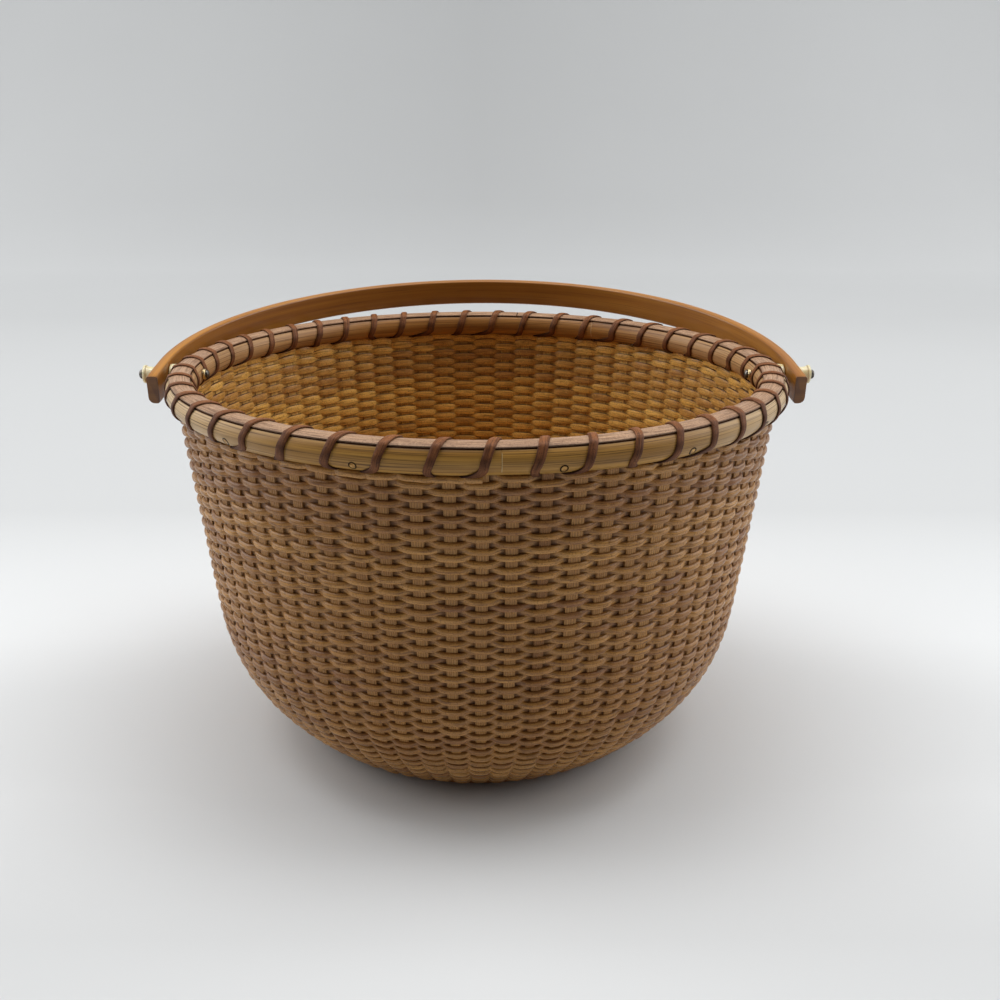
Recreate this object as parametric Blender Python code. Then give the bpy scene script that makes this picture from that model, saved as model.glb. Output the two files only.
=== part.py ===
"""Round mould-woven basket with a turned base, a lashed rim and a wooden swing handle.

Units are metres. +Z is up, the basket stands on z = 0 and its axis is the Z axis.
The handle turns about an axis along X and is folded down over the back, towards +Y.
Azimuths are measured from the front, -Y, and grow towards +X.
"""

import math

import bmesh
import bpy
from mathutils import Vector

MM = 0.001
TURN = 2 * math.pi

# Clearances shared by all pieces
SEAT_GAP = 0.3 * MM
CUT_OVERRUN = 1.0 * MM

# Rim: two half-round hoops with the stave tops between them
RIM_RADIUS = 124.2 * MM
HOOP_UNDERSIDE_Z = 143.3 * MM
HOOP_HEIGHT = 10.2 * MM
HOOP_THICKNESS = 4.8 * MM
HOOP_END_GAP = 0.4 * MM
SCARF_LENGTH = 26.0 * MM
HOOP_SEGMENTS = 60
HOOP_ARC_STEPS = 8
OUTER_SCARF_AZIMUTH = math.radians(3.6)
INNER_SCARF_AZIMUTH = math.radians(150.0)

# Cane strip that caps the rim
CAP_WIDTH = 7.8 * MM
CAP_THICKNESS = 0.5 * MM
CAP_ARCH = 0.95 * MM
CAP_END_GAP = 0.5 * MM
CAP_AZIMUTH = math.radians(170.0)
CAP_ARC_STEPS = 3

# Staves and the wall woven round them
STAVE_COUNT = 69
STAVE_AZIMUTH = math.radians(0.7)
STAVE_WIDTH = 4.6 * MM
STAVE_THICKNESS = 1.2 * MM
STAVE_TOP_DROP = 1.5 * MM
WEAVER_THICKNESS = 1.1 * MM
WEAVE_TO_HOOP = 1.8 * MM
WALL_TAPER_SHARE = 0.122
BOWL_HEIGHT = 62.0 * MM
BOWL_POWER_SHARE = 2.5
WALL_FOOT_STAND_OFF = 0.54 * MM
WALL_START_DROP = 1.0 * MM
RIB_INSET = 0.3 * MM
VALLEY_DEPTH = 1.05 * MM
OUTER_ROW_SHARES = (0.0, 0.04, 0.12, 0.25, 0.42, 1.0)
INNER_ROW_SHARES = (1.0, 0.42, 0.25, 0.1, 0.0)

# Turned wooden base with the groove that holds the stave ends
BASE_RADIUS = 72.0 * MM
BASE_UPPER_INSET = 2.0 * MM
BASE_THICKNESS = 9.0 * MM
BASE_CHAMFER = 1.0 * MM
BASE_ROUNDING = 2.0 * MM
GROOVE_Z = 2.4 * MM
GROOVE_HEIGHT = 2.2 * MM
GROOVE_DEPTH = 9.0 * MM
TURNED_RING_SHARES = (0.6,)
TURNED_RING_WIDTH = 2.0 * MM
TURNED_RING_DEPTH = 0.6 * MM
BASE_SEGMENTS = 36
PLUG_RADIUS = 8.0 * MM
PLUG_CHAMFER = 0.4 * MM
PLUG_SEGMENTS = 24

# Lashing: one cane strip wound round the whole rim
LASH_SPACING = 16.2 * MM
LASH_WIDTH = 3.0 * MM
LASH_THICKNESS = 0.65 * MM
LASH_SEAT_GAP = 0.25 * MM
LASH_ROUNDNESS_SHARE = 2.5
LASH_POINTS = 10
LASH_FRONT_AZIMUTH = math.radians(1.2)
LASH_PIVOT_CLEARANCE = 0.35 * MM
LASH_LAG_SHARE = 0.32
LASH_CROSSING_SLANT = math.radians(0.4)

# Rim pins driven through the hoops between the lashing strands
PIN_EVERY = 3
PIN_FIRST_TURN = 1
PIN_HEIGHT = 2.4 * MM
PIN_HEAD_RADIUS = 1.4 * MM
PIN_HEAD_THICKNESS = 0.6 * MM
PIN_SHANK_RADIUS = 0.55 * MM
PIN_CORE_LEFT = 2.4 * MM
PIN_TIP = 0.5 * MM
PIN_SEGMENTS = 6

# Swing handle: a bent wooden band
PIVOT_HEIGHT_SHARE = 0.525
HANDLE_STAND_OFF = 2.0 * MM
HANDLE_THICKNESS = 4.3 * MM
HANDLE_WIDTH = 11.7 * MM
HANDLE_OVERHANG = 6.8 * MM
HANDLE_LEAN = 4.0 * MM
HANDLE_TAIL = 19.5 * MM
HANDLE_EDGE_CHAMFER = 0.8 * MM
HANDLE_TAIL_CHAMFER = 2.4 * MM
HANDLE_STEPS = 40
HANDLE_FOLD_ANGLE = math.radians(6.2)

# Pivot hardware, one set on each side
RIVET_RADIUS = 1.2 * MM
RIVET_HEAD_RADIUS = 2.0 * MM
RIVET_HEAD_HEIGHT = 1.7 * MM
RIVET_PEEN_RADIUS = 1.8 * MM
RIVET_PEEN_HEIGHT = 1.1 * MM
BURR_RADIUS = 2.2 * MM
BURR_THICKNESS = 1.0 * MM
SPACER_RADIUS = 4.2 * MM
SPACER_THICKNESS = 3.0 * MM
SPACER_CHAMFER = 0.5 * MM
KNOB_RADIUS = 3.4 * MM
KNOB_WAIST_RADIUS = 3.0 * MM
KNOB_LIP_RADIUS = 3.8 * MM
KNOB_LENGTH = 6.2 * MM
KNOB_LIP_LENGTH = 1.3 * MM
KNOB_CHAMFER = 0.4 * MM
HARDWARE_SEGMENTS = 12

# Sizes that follow from those above
OUTER_HOOP_FLAT_R = RIM_RADIUS - HOOP_THICKNESS
STAVE_OUTER_R = OUTER_HOOP_FLAT_R - SEAT_GAP
STAVE_INNER_R = STAVE_OUTER_R - STAVE_THICKNESS
INNER_HOOP_FLAT_R = STAVE_INNER_R - SEAT_GAP
INNER_HOOP_FACE_R = INNER_HOOP_FLAT_R - HOOP_THICKNESS
RIM_MID_R = (RIM_RADIUS + INNER_HOOP_FACE_R) / 2
HOOP_MID_Z = HOOP_UNDERSIDE_Z + HOOP_HEIGHT / 2
HOOP_TOP_Z = HOOP_UNDERSIDE_Z + HOOP_HEIGHT
CAP_TOP_Z = HOOP_TOP_Z + SEAT_GAP + CAP_THICKNESS
RIM_MID_Z = (HOOP_UNDERSIDE_Z + CAP_TOP_Z) / 2

WEAVE_TOP_Z = HOOP_UNDERSIDE_Z - WEAVE_TO_HOOP
WALL_THICKNESS = STAVE_THICKNESS + 2 * WEAVER_THICKNESS
WALL_TOP_R = STAVE_OUTER_R + WEAVER_THICKNESS
STAVE_PITCH = TURN / STAVE_COUNT
STAVE_HALF_ANGLE = STAVE_WIDTH / STAVE_OUTER_R / 2
BOWL_DRAW = WALL_TOP_R - WALL_TAPER_SHARE * WEAVE_TOP_Z - BASE_RADIUS - WALL_FOOT_STAND_OFF

BASE_UPPER_RADIUS = BASE_RADIUS - BASE_UPPER_INSET
GROOVE_TOP_Z = GROOVE_Z + GROOVE_HEIGHT
GROOVE_R = BASE_RADIUS - GROOVE_DEPTH
FLANGE_BOTTOM_Z = GROOVE_Z + SEAT_GAP
FLANGE_TOP_Z = GROOVE_TOP_Z - SEAT_GAP
FLANGE_INNER_R = GROOVE_R + SEAT_GAP
FLANGE_OUTER_R = BASE_RADIUS + 2 * SEAT_GAP
WALL_START_Z = FLANGE_BOTTOM_Z + WALL_START_DROP
PLUG_HOLE_R = PLUG_RADIUS + SEAT_GAP

PIVOT_Z = HOOP_UNDERSIDE_Z + HOOP_HEIGHT * PIVOT_HEIGHT_SHARE
BORE_RADIUS = RIVET_RADIUS + SEAT_GAP
HANDLE_INNER_X = RIM_RADIUS + HANDLE_STAND_OFF
HANDLE_REACH = RIM_RADIUS + HANDLE_OVERHANG
HANDLE_OUTER_X = HANDLE_INNER_X + HANDLE_THICKNESS
SPACER_OUTER_X = HANDLE_INNER_X - SEAT_GAP
SPACER_INNER_X = SPACER_OUTER_X - SPACER_THICKNESS
SPOT_FACE_X = SPACER_INNER_X - SEAT_GAP
SPOT_FACE_RADIUS = SPACER_RADIUS + SEAT_GAP
BURR_OUTER_X = INNER_HOOP_FACE_R - SEAT_GAP
BURR_INNER_X = BURR_OUTER_X - BURR_THICKNESS
PEEN_OUTER_X = BURR_INNER_X - SEAT_GAP
KNOB_INNER_X = HANDLE_OUTER_X + SEAT_GAP
KNOB_OUTER_X = KNOB_INNER_X + KNOB_LENGTH
RIVET_HEAD_X = KNOB_OUTER_X + SEAT_GAP

# The lashing's strands pass clear of the spacers outside the rim and the burrs inside it
LASH_TURNS = 2 * round(TURN / 2 * RIM_MID_R / LASH_SPACING)
LASH_PITCH = TURN / LASH_TURNS
LASH_CROSSING_LAG = LASH_LAG_SHARE * LASH_PITCH
LASH_PIVOT_REACH = LASH_WIDTH / 2 + LASH_PIVOT_CLEARANCE
OUTER_PIVOT_ANGLE = (SPOT_FACE_RADIUS + LASH_PIVOT_REACH) / RIM_RADIUS
INNER_PIVOT_ANGLE = (BURR_RADIUS + LASH_PIVOT_REACH) / INNER_HOOP_FACE_R
LASH_SLANT = (LASH_PITCH - OUTER_PIVOT_ANGLE - INNER_PIVOT_ANGLE) / (LASH_POINTS / 2)
PIVOT_STRAND_AZIMUTH = TURN / 4 + OUTER_PIVOT_ANGLE - LASH_PITCH
TURNS_TO_PIVOT = math.floor((TURN / 4 - LASH_FRONT_AZIMUTH) / LASH_PITCH)
LASH_PIVOT_SHIFT = PIVOT_STRAND_AZIMUTH - LASH_FRONT_AZIMUTH - TURNS_TO_PIVOT * LASH_PITCH


def material(name, color, roughness, metallic=0.0):
    """A plain surface with the piece's own colour, roughness and metallic value."""
    made = bpy.data.materials.new(name)
    made.use_nodes = True
    shader = made.node_tree.nodes["Principled BSDF"]
    shader.inputs["Base Color"].default_value = (*color, 1.0)
    shader.inputs["Roughness"].default_value = roughness
    shader.inputs["Metallic"].default_value = metallic
    made.diffuse_color = (*color, 1.0)
    return made


def add_object(name, bm, color, roughness, metallic=0.0, smooth_angle=40.0):
    """Turn a bmesh into a named object with its own material."""
    bmesh.ops.recalc_face_normals(bm, faces=bm.faces)
    mesh = bpy.data.meshes.new(name)
    bm.to_mesh(mesh)
    bm.free()
    mesh.materials.append(material(name + "_surface", color, roughness, metallic))
    mesh.shade_smooth()
    mesh.set_sharp_from_angle(angle=math.radians(smooth_angle))
    made = bpy.data.objects.new(name, mesh)
    bpy.context.scene.collection.objects.link(made)
    return made


def polar(radius, azimuth, z):
    """A point at an azimuth from the front, -Y, growing towards +X."""
    return Vector((radius * math.sin(azimuth), -radius * math.cos(azimuth), z))


def bridge(bm, rings, close_rings):
    """Join successive rings of equal count with quads; each ring is a closed loop."""
    count = len(rings[0])
    pairs = list(zip(rings, rings[1:]))
    if close_rings:
        pairs.append((rings[-1], rings[0]))
    for first, second in pairs:
        for i in range(count):
            j = (i + 1) % count
            bm.faces.new((first[i], first[j], second[j], second[i]))


def turned_ring(section, segments):
    """Spin a closed section of (radius, height) points into a ring."""
    bm = bmesh.new()
    rings = []
    for s in range(segments):
        angle = TURN * s / segments
        rings.append([bm.verts.new(polar(r, angle, z)) for r, z in section])
    bridge(bm, rings, True)
    return bm


def turned_solid(profile, segments):
    """Spin an open profile whose first and last points lie on the axis."""
    bm = bmesh.new()
    rings = []
    for s in range(segments):
        angle = TURN * s / segments
        rings.append([bm.verts.new(polar(r, angle, z)) for r, z in profile[1:-1]])
    start = bm.verts.new((0, 0, profile[0][1]))
    end = bm.verts.new((0, 0, profile[-1][1]))
    for s in range(segments):
        here = rings[s]
        after = rings[(s + 1) % segments]
        bm.faces.new((start, here[0], after[0]))
        bm.faces.new((end, after[-1], here[-1]))
        for i in range(len(here) - 1):
            bm.faces.new((here[i], here[i + 1], after[i + 1], after[i]))
    return bm


def rod_cutter(name, radius, start, end, segments):
    """A hidden rod between two points, used to cut a hole."""
    axis = end - start
    bm = bmesh.new()
    bmesh.ops.create_cone(bm, cap_ends=True, segments=segments, radius1=radius,
                          radius2=radius, depth=axis.length)
    mesh = bpy.data.meshes.new(name)
    bm.to_mesh(mesh)
    bm.free()
    rod = bpy.data.objects.new(name, mesh)
    bpy.context.scene.collection.objects.link(rod)
    rod.location = (start + end) / 2
    rod.rotation_mode = "QUATERNION"
    rod.rotation_quaternion = Vector((0, 0, 1)).rotation_difference(axis)
    rod.hide_render = True
    rod.display_type = "WIRE"
    return rod


def cut(target, cutter):
    """Cut one object with another by a Boolean modifier."""
    modifier = target.modifiers.new("cut_" + cutter.name, "BOOLEAN")
    modifier.operation = "DIFFERENCE"
    modifier.solver = "EXACT"
    modifier.object = cutter


def wall_radius(z):
    """Outer radius of the woven wall: a straight flare above a rounded bowl."""
    flare = WALL_TOP_R - WALL_TAPER_SHARE * (WEAVE_TOP_Z - z)
    depth_share = max(0.0, 1.0 - z / BOWL_HEIGHT)
    return flare - BOWL_DRAW * depth_share ** BOWL_POWER_SHARE


def wall_point(z, depth):
    """The point at a depth inside the weave's outermost surface, square to it at height z."""
    depth_share = max(0.0, 1.0 - z / BOWL_HEIGHT)
    bowl_slope = BOWL_POWER_SHARE * BOWL_DRAW / BOWL_HEIGHT * depth_share ** (BOWL_POWER_SHARE - 1)
    slope = WALL_TAPER_SHARE + bowl_slope
    length = math.hypot(slope, 1.0)
    return wall_radius(z) - depth / length, z + depth * slope / length


def wall_rows(shares):
    """Heights between the start of the wall and the top of the weave."""
    return [WALL_START_Z + (WEAVE_TOP_Z - WALL_START_Z) * share for share in shares]


def make_base_disc():
    """Turned wooden disc: grooved edge, rounded upper lip, one fine ring on each face."""
    ring_radii = [BASE_RADIUS * share for share in TURNED_RING_SHARES]
    half = TURNED_RING_WIDTH / 2
    section = [(PLUG_HOLE_R, 0)]
    for r in ring_radii:
        section += [(r - half, 0), (r, TURNED_RING_DEPTH), (r + half, 0)]
    section += [
        (BASE_RADIUS - BASE_CHAMFER, 0),
        (BASE_RADIUS, BASE_CHAMFER),
        (BASE_RADIUS, GROOVE_Z),
        (GROOVE_R, GROOVE_Z),
        (GROOVE_R, GROOVE_TOP_Z),
        (BASE_UPPER_RADIUS, GROOVE_TOP_Z),
        (BASE_UPPER_RADIUS, BASE_THICKNESS - BASE_ROUNDING),
        (BASE_UPPER_RADIUS - BASE_ROUNDING / 3, BASE_THICKNESS - BASE_ROUNDING / 3),
        (BASE_UPPER_RADIUS - BASE_ROUNDING, BASE_THICKNESS),
    ]
    for r in reversed(ring_radii):
        section += [(r + half, BASE_THICKNESS),
                    (r, BASE_THICKNESS - TURNED_RING_DEPTH),
                    (r - half, BASE_THICKNESS)]
    section.append((PLUG_HOLE_R, BASE_THICKNESS))
    bm = turned_ring(section, BASE_SEGMENTS)
    return add_object("base_disc", bm, (0.42, 0.22, 0.09), 0.45, smooth_angle=25.0)


def make_base_plug():
    """Plug that closes the hole by which the base was bolted to its mould."""
    profile = [
        (0, 0),
        (PLUG_RADIUS - PLUG_CHAMFER, 0),
        (PLUG_RADIUS, PLUG_CHAMFER),
        (PLUG_RADIUS, BASE_THICKNESS - PLUG_CHAMFER),
        (PLUG_RADIUS - PLUG_CHAMFER, BASE_THICKNESS),
        (0, BASE_THICKNESS),
    ]
    bm = turned_solid(profile, PLUG_SEGMENTS)
    return add_object("base_plug", bm, (0.30, 0.14, 0.06), 0.40, smooth_angle=25.0)


def woven_section(inset):
    """Closed (radius, height) section of the wall, from the groove up and back down.

    Both faces lie an inset inside the outermost points of the weave.
    """
    outer = [wall_point(z, inset) for z in wall_rows(OUTER_ROW_SHARES)]
    outer[-1] = (WALL_TOP_R - inset, WEAVE_TOP_Z)
    inner = [wall_point(z, WALL_THICKNESS - inset) for z in wall_rows(INNER_ROW_SHARES)]
    inner[0] = (WALL_TOP_R - WALL_THICKNESS + inset, WEAVE_TOP_Z)
    section = [(FLANGE_INNER_R, FLANGE_BOTTOM_Z), (FLANGE_OUTER_R, FLANGE_BOTTOM_Z)]
    section += outer
    section += [(STAVE_OUTER_R, WEAVE_TOP_Z), (STAVE_INNER_R, WEAVE_TOP_Z)]
    section += inner
    section += [(FLANGE_OUTER_R, FLANGE_TOP_Z), (FLANGE_INNER_R, FLANGE_TOP_Z)]
    return section


def make_woven_body():
    """The woven wall as one shell: a rib over each stave, valleys where the weaver crosses.

    Every stave's bare top stands up from its rib.
    """
    rib = woven_section(RIB_INSET)
    valley = woven_section(VALLEY_DEPTH)
    stave_row = rib.index((STAVE_OUTER_R, WEAVE_TOP_Z))
    stave_top_z = HOOP_TOP_Z - STAVE_TOP_DROP
    offsets = ((-STAVE_HALF_ANGLE, rib), (STAVE_HALF_ANGLE, rib), (STAVE_PITCH / 2, valley))
    bm = bmesh.new()
    columns = []
    for s in range(STAVE_COUNT):
        middle = STAVE_AZIMUTH + STAVE_PITCH * s
        for offset, section in offsets:
            columns.append([bm.verts.new(polar(r, middle + offset, z)) for r, z in section])
    rows = len(rib)
    for c, here in enumerate(columns):
        after = columns[(c + 1) % len(columns)]
        is_stave = c % len(offsets) == 0
        for i in range(rows):
            j = (i + 1) % rows
            if is_stave and i == stave_row:
                foot = (here[i], here[j], after[j], after[i])
                top = [bm.verts.new((v.co.x, v.co.y, stave_top_z)) for v in foot]
                for a in range(len(foot)):
                    b = (a + 1) % len(foot)
                    bm.faces.new((foot[a], foot[b], top[b], top[a]))
                bm.faces.new(top)
            else:
                bm.faces.new((here[i], here[j], after[j], after[i]))
    return add_object("woven_body", bm, (0.50, 0.31, 0.13), 0.55, smooth_angle=30.0)


def make_hoop(name, flat_radius, outward, seam_azimuth, color):
    """Half-round hoop, flat against the staves, bent round to a long scarf joint."""
    scarf_angle = SCARF_LENGTH / flat_radius
    gap_angle = HOOP_END_GAP / flat_radius
    bm = bmesh.new()
    rings = []
    for s in range(HOOP_SEGMENTS + 1):
        along = s / HOOP_SEGMENTS
        ring = []
        for a in range(HOOP_ARC_STEPS + 1):
            angle = math.pi * (a / HOOP_ARC_STEPS - 0.5)
            depth = math.cos(angle)
            radius = flat_radius + outward * HOOP_THICKNESS * depth
            z = HOOP_MID_Z + HOOP_HEIGHT / 2 * math.sin(angle)
            azimuth = seam_azimuth - scarf_angle * (1.0 - depth) + along * (TURN - gap_angle)
            ring.append(bm.verts.new(polar(radius, azimuth, z)))
        rings.append(ring)
    bridge(bm, rings, False)
    bm.faces.new(rings[0])
    bm.faces.new(rings[-1])
    return add_object(name, bm, color, 0.45, smooth_angle=45.0)


def make_rim_cap():
    """Thin cane strip bent over the tops of the hoops, its two ends butted."""
    bm = bmesh.new()
    rings = []
    for s in range(HOOP_SEGMENTS + 1):
        azimuth = CAP_AZIMUTH + s / HOOP_SEGMENTS * (TURN - CAP_END_GAP / RIM_MID_R)
        top = []
        bottom = []
        for a in range(CAP_ARC_STEPS + 1):
            across = 2 * a / CAP_ARC_STEPS - 1
            radius = RIM_MID_R + across * CAP_WIDTH / 2
            z = CAP_TOP_Z - CAP_ARCH * across ** 2
            top.append(bm.verts.new(polar(radius, azimuth, z)))
            bottom.append(bm.verts.new(polar(radius, azimuth, z - CAP_THICKNESS)))
        rings.append(top + bottom[::-1])
    bridge(bm, rings, False)
    bm.faces.new(rings[0])
    bm.faces.new(rings[-1])
    return add_object("rim_cap", bm, (0.33, 0.20, 0.14), 0.50, smooth_angle=45.0)


def strand_azimuth(turn):
    """Azimuth of a lashing strand where it crosses the middle of the outer hoop."""
    even = LASH_FRONT_AZIMUTH + LASH_PITCH * turn
    return even + LASH_PIVOT_SHIFT * math.sin(even) ** 2


def nearest_stave_gap(azimuth):
    """Azimuth of the middle of the space between two staves that lies nearest."""
    first = STAVE_AZIMUTH + STAVE_PITCH / 2
    return first + STAVE_PITCH * round((azimuth - first) / STAVE_PITCH)


def lash_outline(angle):
    """Offset from the rim's middle, and the outward normal, at an angle round the rim."""
    half_wide = (RIM_RADIUS - INNER_HOOP_FACE_R) / 2
    half_high = (CAP_TOP_Z - HOOP_UNDERSIDE_Z) / 2
    chord_sag = half_wide * (1.0 - math.cos(math.pi / LASH_POINTS))
    stand_off = LASH_SEAT_GAP + LASH_THICKNESS / 2 + chord_sag
    wide = half_wide + stand_off
    high = half_high + stand_off
    power = 2.0 / LASH_ROUNDNESS_SHARE
    c = math.cos(angle)
    s = math.sin(angle)
    out = wide * math.copysign(abs(c) ** power, c)
    up = high * math.copysign(abs(s) ** power, s)
    normal_out = math.copysign(abs(c) ** (2.0 - power), c) / wide
    normal_up = math.copysign(abs(s) ** (2.0 - power), s) / high
    length = math.hypot(normal_out, normal_up)
    return out, up, normal_out / length, normal_up / length


def lash_route():
    """Points and surface normals of the lashing, from its start to its end.

    Each turn starts under the inner hoop, passes out between two staves, rises over
    the outer hoop and the cap, and comes down the inner hoop.
    """
    points = []
    normals = []
    step = TURN / LASH_POINTS
    for turn in range(LASH_TURNS):
        middle = strand_azimuth(turn)
        crossing = nearest_stave_gap(middle - LASH_CROSSING_LAG)
        for p in range(LASH_POINTS):
            if p < 2:
                azimuth = crossing + (2 * p - 1) * LASH_CROSSING_SLANT
            else:
                stretch = (strand_azimuth(turn + 1) - middle) / LASH_PITCH
                azimuth = middle + LASH_SLANT * (p - 3) * stretch
            out, up, normal_out, normal_up = lash_outline((p - 3) * step)
            points.append(polar(RIM_MID_R + out, azimuth, RIM_MID_Z + up))
            normals.append(polar(normal_out, azimuth, normal_up))
    return points, normals


def least_gap_between_turns(points):
    """Smallest clear distance between strands of neighbouring turns."""
    least = math.inf
    for i, here in enumerate(points):
        for j in range(i + LASH_POINTS // 2 + 1, min(i + 2 * LASH_POINTS, len(points))):
            least = min(least, (points[j] - here).length)
    return least - LASH_WIDTH


def make_rim_lashing():
    """One flat cane strip wound round the hoops, the stave tops and the cap."""
    points, normals = lash_route()
    print("rim_lashing least gap to itself, mm:", least_gap_between_turns(points) / MM)
    bm = bmesh.new()
    rings = []
    for i, here in enumerate(points):
        before = points[max(i - 1, 0)]
        after = points[min(i + 1, len(points) - 1)]
        along = (after - before).normalized()
        across = along.cross(normals[i]).normalized()
        face = across.cross(along).normalized()
        half_wide = across * (LASH_WIDTH / 2)
        half_thick = face * (LASH_THICKNESS / 2)
        corners = (here - half_wide - half_thick, here + half_wide - half_thick,
                   here + half_wide + half_thick, here - half_wide + half_thick)
        rings.append([bm.verts.new(corner) for corner in corners])
    bridge(bm, rings, False)
    bm.faces.new(rings[0])
    bm.faces.new(rings[-1])
    return add_object("rim_lashing", bm, (0.24, 0.13, 0.09), 0.50, smooth_angle=50.0)


def pin_azimuths():
    """Pins stand midway between strands, moved only as far as the stave gap needs.

    Where a rivet passes through the rim, it takes the place of the pin.
    """
    azimuths = []
    rivet_reach = SPOT_FACE_RADIUS + 2 * PIN_HEAD_RADIUS
    play = STAVE_PITCH / 2 - STAVE_HALF_ANGLE - (PIN_SHANK_RADIUS + 2 * SEAT_GAP) / STAVE_INNER_R
    for turn in range(PIN_FIRST_TURN, LASH_TURNS, PIN_EVERY):
        low = strand_azimuth(turn) - LASH_SLANT
        high = strand_azimuth(turn + 1) - LASH_SLANT
        target = (low + high) / 2
        gap = nearest_stave_gap(target)
        azimuth = min(max(target, gap - play), gap + play)
        if RIM_RADIUS * abs(math.cos(azimuth)) > rivet_reach:
            azimuths.append(azimuth)
    return azimuths


def hoop_face_radius(height):
    """Radius of the outer hoop's round face at a height above its underside."""
    rise_share = (height - HOOP_HEIGHT / 2) / (HOOP_HEIGHT / 2)
    return OUTER_HOOP_FLAT_R + HOOP_THICKNESS * math.sqrt(1.0 - rise_share ** 2)


def make_rim_pins(outer_hoop, inner_hoop):
    """Headed pins through the outer hoop into the inner one, with their holes."""
    z = HOOP_UNDERSIDE_Z + PIN_HEIGHT
    seat_r = hoop_face_radius(PIN_HEIGHT - PIN_HEAD_RADIUS) + PIN_HEAD_RADIUS + SEAT_GAP
    tip_r = INNER_HOOP_FACE_R + PIN_CORE_LEFT
    profile = [
        (0, tip_r),
        (PIN_SHANK_RADIUS, tip_r + PIN_TIP),
        (PIN_SHANK_RADIUS, seat_r),
        (PIN_HEAD_RADIUS, seat_r),
        (PIN_HEAD_RADIUS, seat_r + PIN_HEAD_THICKNESS / 2),
        (0, seat_r + PIN_HEAD_THICKNESS),
    ]
    for number, azimuth in enumerate(pin_azimuths(), start=1):
        bm = turned_solid(profile, PIN_SEGMENTS)
        pin = add_object(f"rim_pin_{number:02d}", bm, (0.45, 0.30, 0.12), 0.35, 0.6)
        pin.location = (0, 0, z)
        pin.rotation_euler = (math.pi / 2, 0, azimuth)
        hole_start = polar(tip_r - SEAT_GAP, azimuth, z)
        hole_end = polar(RIM_RADIUS + CUT_OVERRUN, azimuth, z)
        hole = rod_cutter(f"pin_hole_{number:02d}", PIN_SHANK_RADIUS + SEAT_GAP,
                          hole_start, hole_end, PIN_SEGMENTS)
        cut(outer_hoop, hole)
        cut(inner_hoop, hole)


def handle_section(chamfer, tail_chamfer):
    """Band section as (outwards, across) offsets, with its lower outer corner cut more."""
    t = HANDLE_THICKNESS / 2
    w = HANDLE_WIDTH / 2
    return [
        (-t, -w + chamfer), (-t + chamfer, -w),
        (t - tail_chamfer, -w), (t, -w + tail_chamfer),
        (t, w - chamfer), (t - chamfer, w),
        (-t + chamfer, w), (-t, w - chamfer),
    ]


def handle_stations():
    """Middle point, outward normal and tail share along the band, from side to side."""
    middle_x = HANDLE_INNER_X + HANDLE_THICKNESS / 2
    side_end = Vector((middle_x, -HANDLE_TAIL, 0))
    stations = [(side_end, Vector((1, 0, 0)), 1.0), (Vector((middle_x, 0, 0)), Vector((1, 0, 0)), 0.0)]
    for s in range(1, HANDLE_STEPS):
        angle = math.pi * s / HANDLE_STEPS
        lean = HANDLE_LEAN * math.sin(angle) ** 2
        place = Vector((middle_x * math.cos(angle) + lean, HANDLE_REACH * math.sin(angle), 0))
        normal = Vector((math.cos(angle) / middle_x, math.sin(angle) / HANDLE_REACH, 0))
        stations.append((place, normal.normalized(), 0.0))
    stations.append((Vector((-middle_x, 0, 0)), Vector((-1, 0, 0)), 0.0))
    stations.append((Vector((-middle_x, -HANDLE_TAIL, 0)), Vector((-1, 0, 0)), 1.0))
    return stations


def make_handle():
    """Bent wooden band that swings on the two rivets; its origin is on the pivot axis."""
    bm = bmesh.new()
    rings = []
    for place, normal, tail in handle_stations():
        tail_chamfer = HANDLE_EDGE_CHAMFER + tail * (HANDLE_TAIL_CHAMFER - HANDLE_EDGE_CHAMFER)
        ring = []
        for outwards, across in handle_section(HANDLE_EDGE_CHAMFER, tail_chamfer):
            ring.append(bm.verts.new(place + normal * outwards + Vector((0, 0, across))))
        rings.append(ring)
    bridge(bm, rings, False)
    bm.faces.new(rings[0])
    bm.faces.new(rings[-1])
    handle = add_object("handle", bm, (0.45, 0.22, 0.07), 0.35, smooth_angle=30.0)
    handle.location = (0, 0, PIVOT_Z)
    handle.rotation_euler = (HANDLE_FOLD_ANGLE, 0, 0)
    return handle


def make_on_pivot(name, bm, side, color, roughness, metallic=0.0):
    """Stand a piece turned about Z on the pivot axis, pointing out to one side."""
    piece = add_object(name, bm, color, roughness, metallic)
    piece.location = (0, 0, PIVOT_Z)
    piece.rotation_euler = (0, side * math.pi / 2, 0)
    return piece


def make_rivet(name, side):
    """Rivet with a domed outer head and an inner end peened over its burr."""
    peen_mid = PEEN_OUTER_X - RIVET_PEEN_HEIGHT / 2
    head_mid = RIVET_HEAD_X + RIVET_HEAD_HEIGHT / 2
    profile = [
        (0, PEEN_OUTER_X - RIVET_PEEN_HEIGHT),
        (RIVET_PEEN_RADIUS * 0.7, peen_mid - RIVET_PEEN_HEIGHT / 4),
        (RIVET_PEEN_RADIUS, peen_mid),
        (RIVET_PEEN_RADIUS, PEEN_OUTER_X),
        (RIVET_RADIUS, PEEN_OUTER_X),
        (RIVET_RADIUS, RIVET_HEAD_X),
        (RIVET_HEAD_RADIUS, RIVET_HEAD_X),
        (RIVET_HEAD_RADIUS, head_mid),
        (RIVET_HEAD_RADIUS * 0.7, head_mid + RIVET_HEAD_HEIGHT / 3),
        (0, RIVET_HEAD_X + RIVET_HEAD_HEIGHT),
    ]
    bm = turned_solid(profile, HARDWARE_SEGMENTS)
    return make_on_pivot(name, bm, side, (0.25, 0.24, 0.22), 0.35, 0.9)


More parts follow.
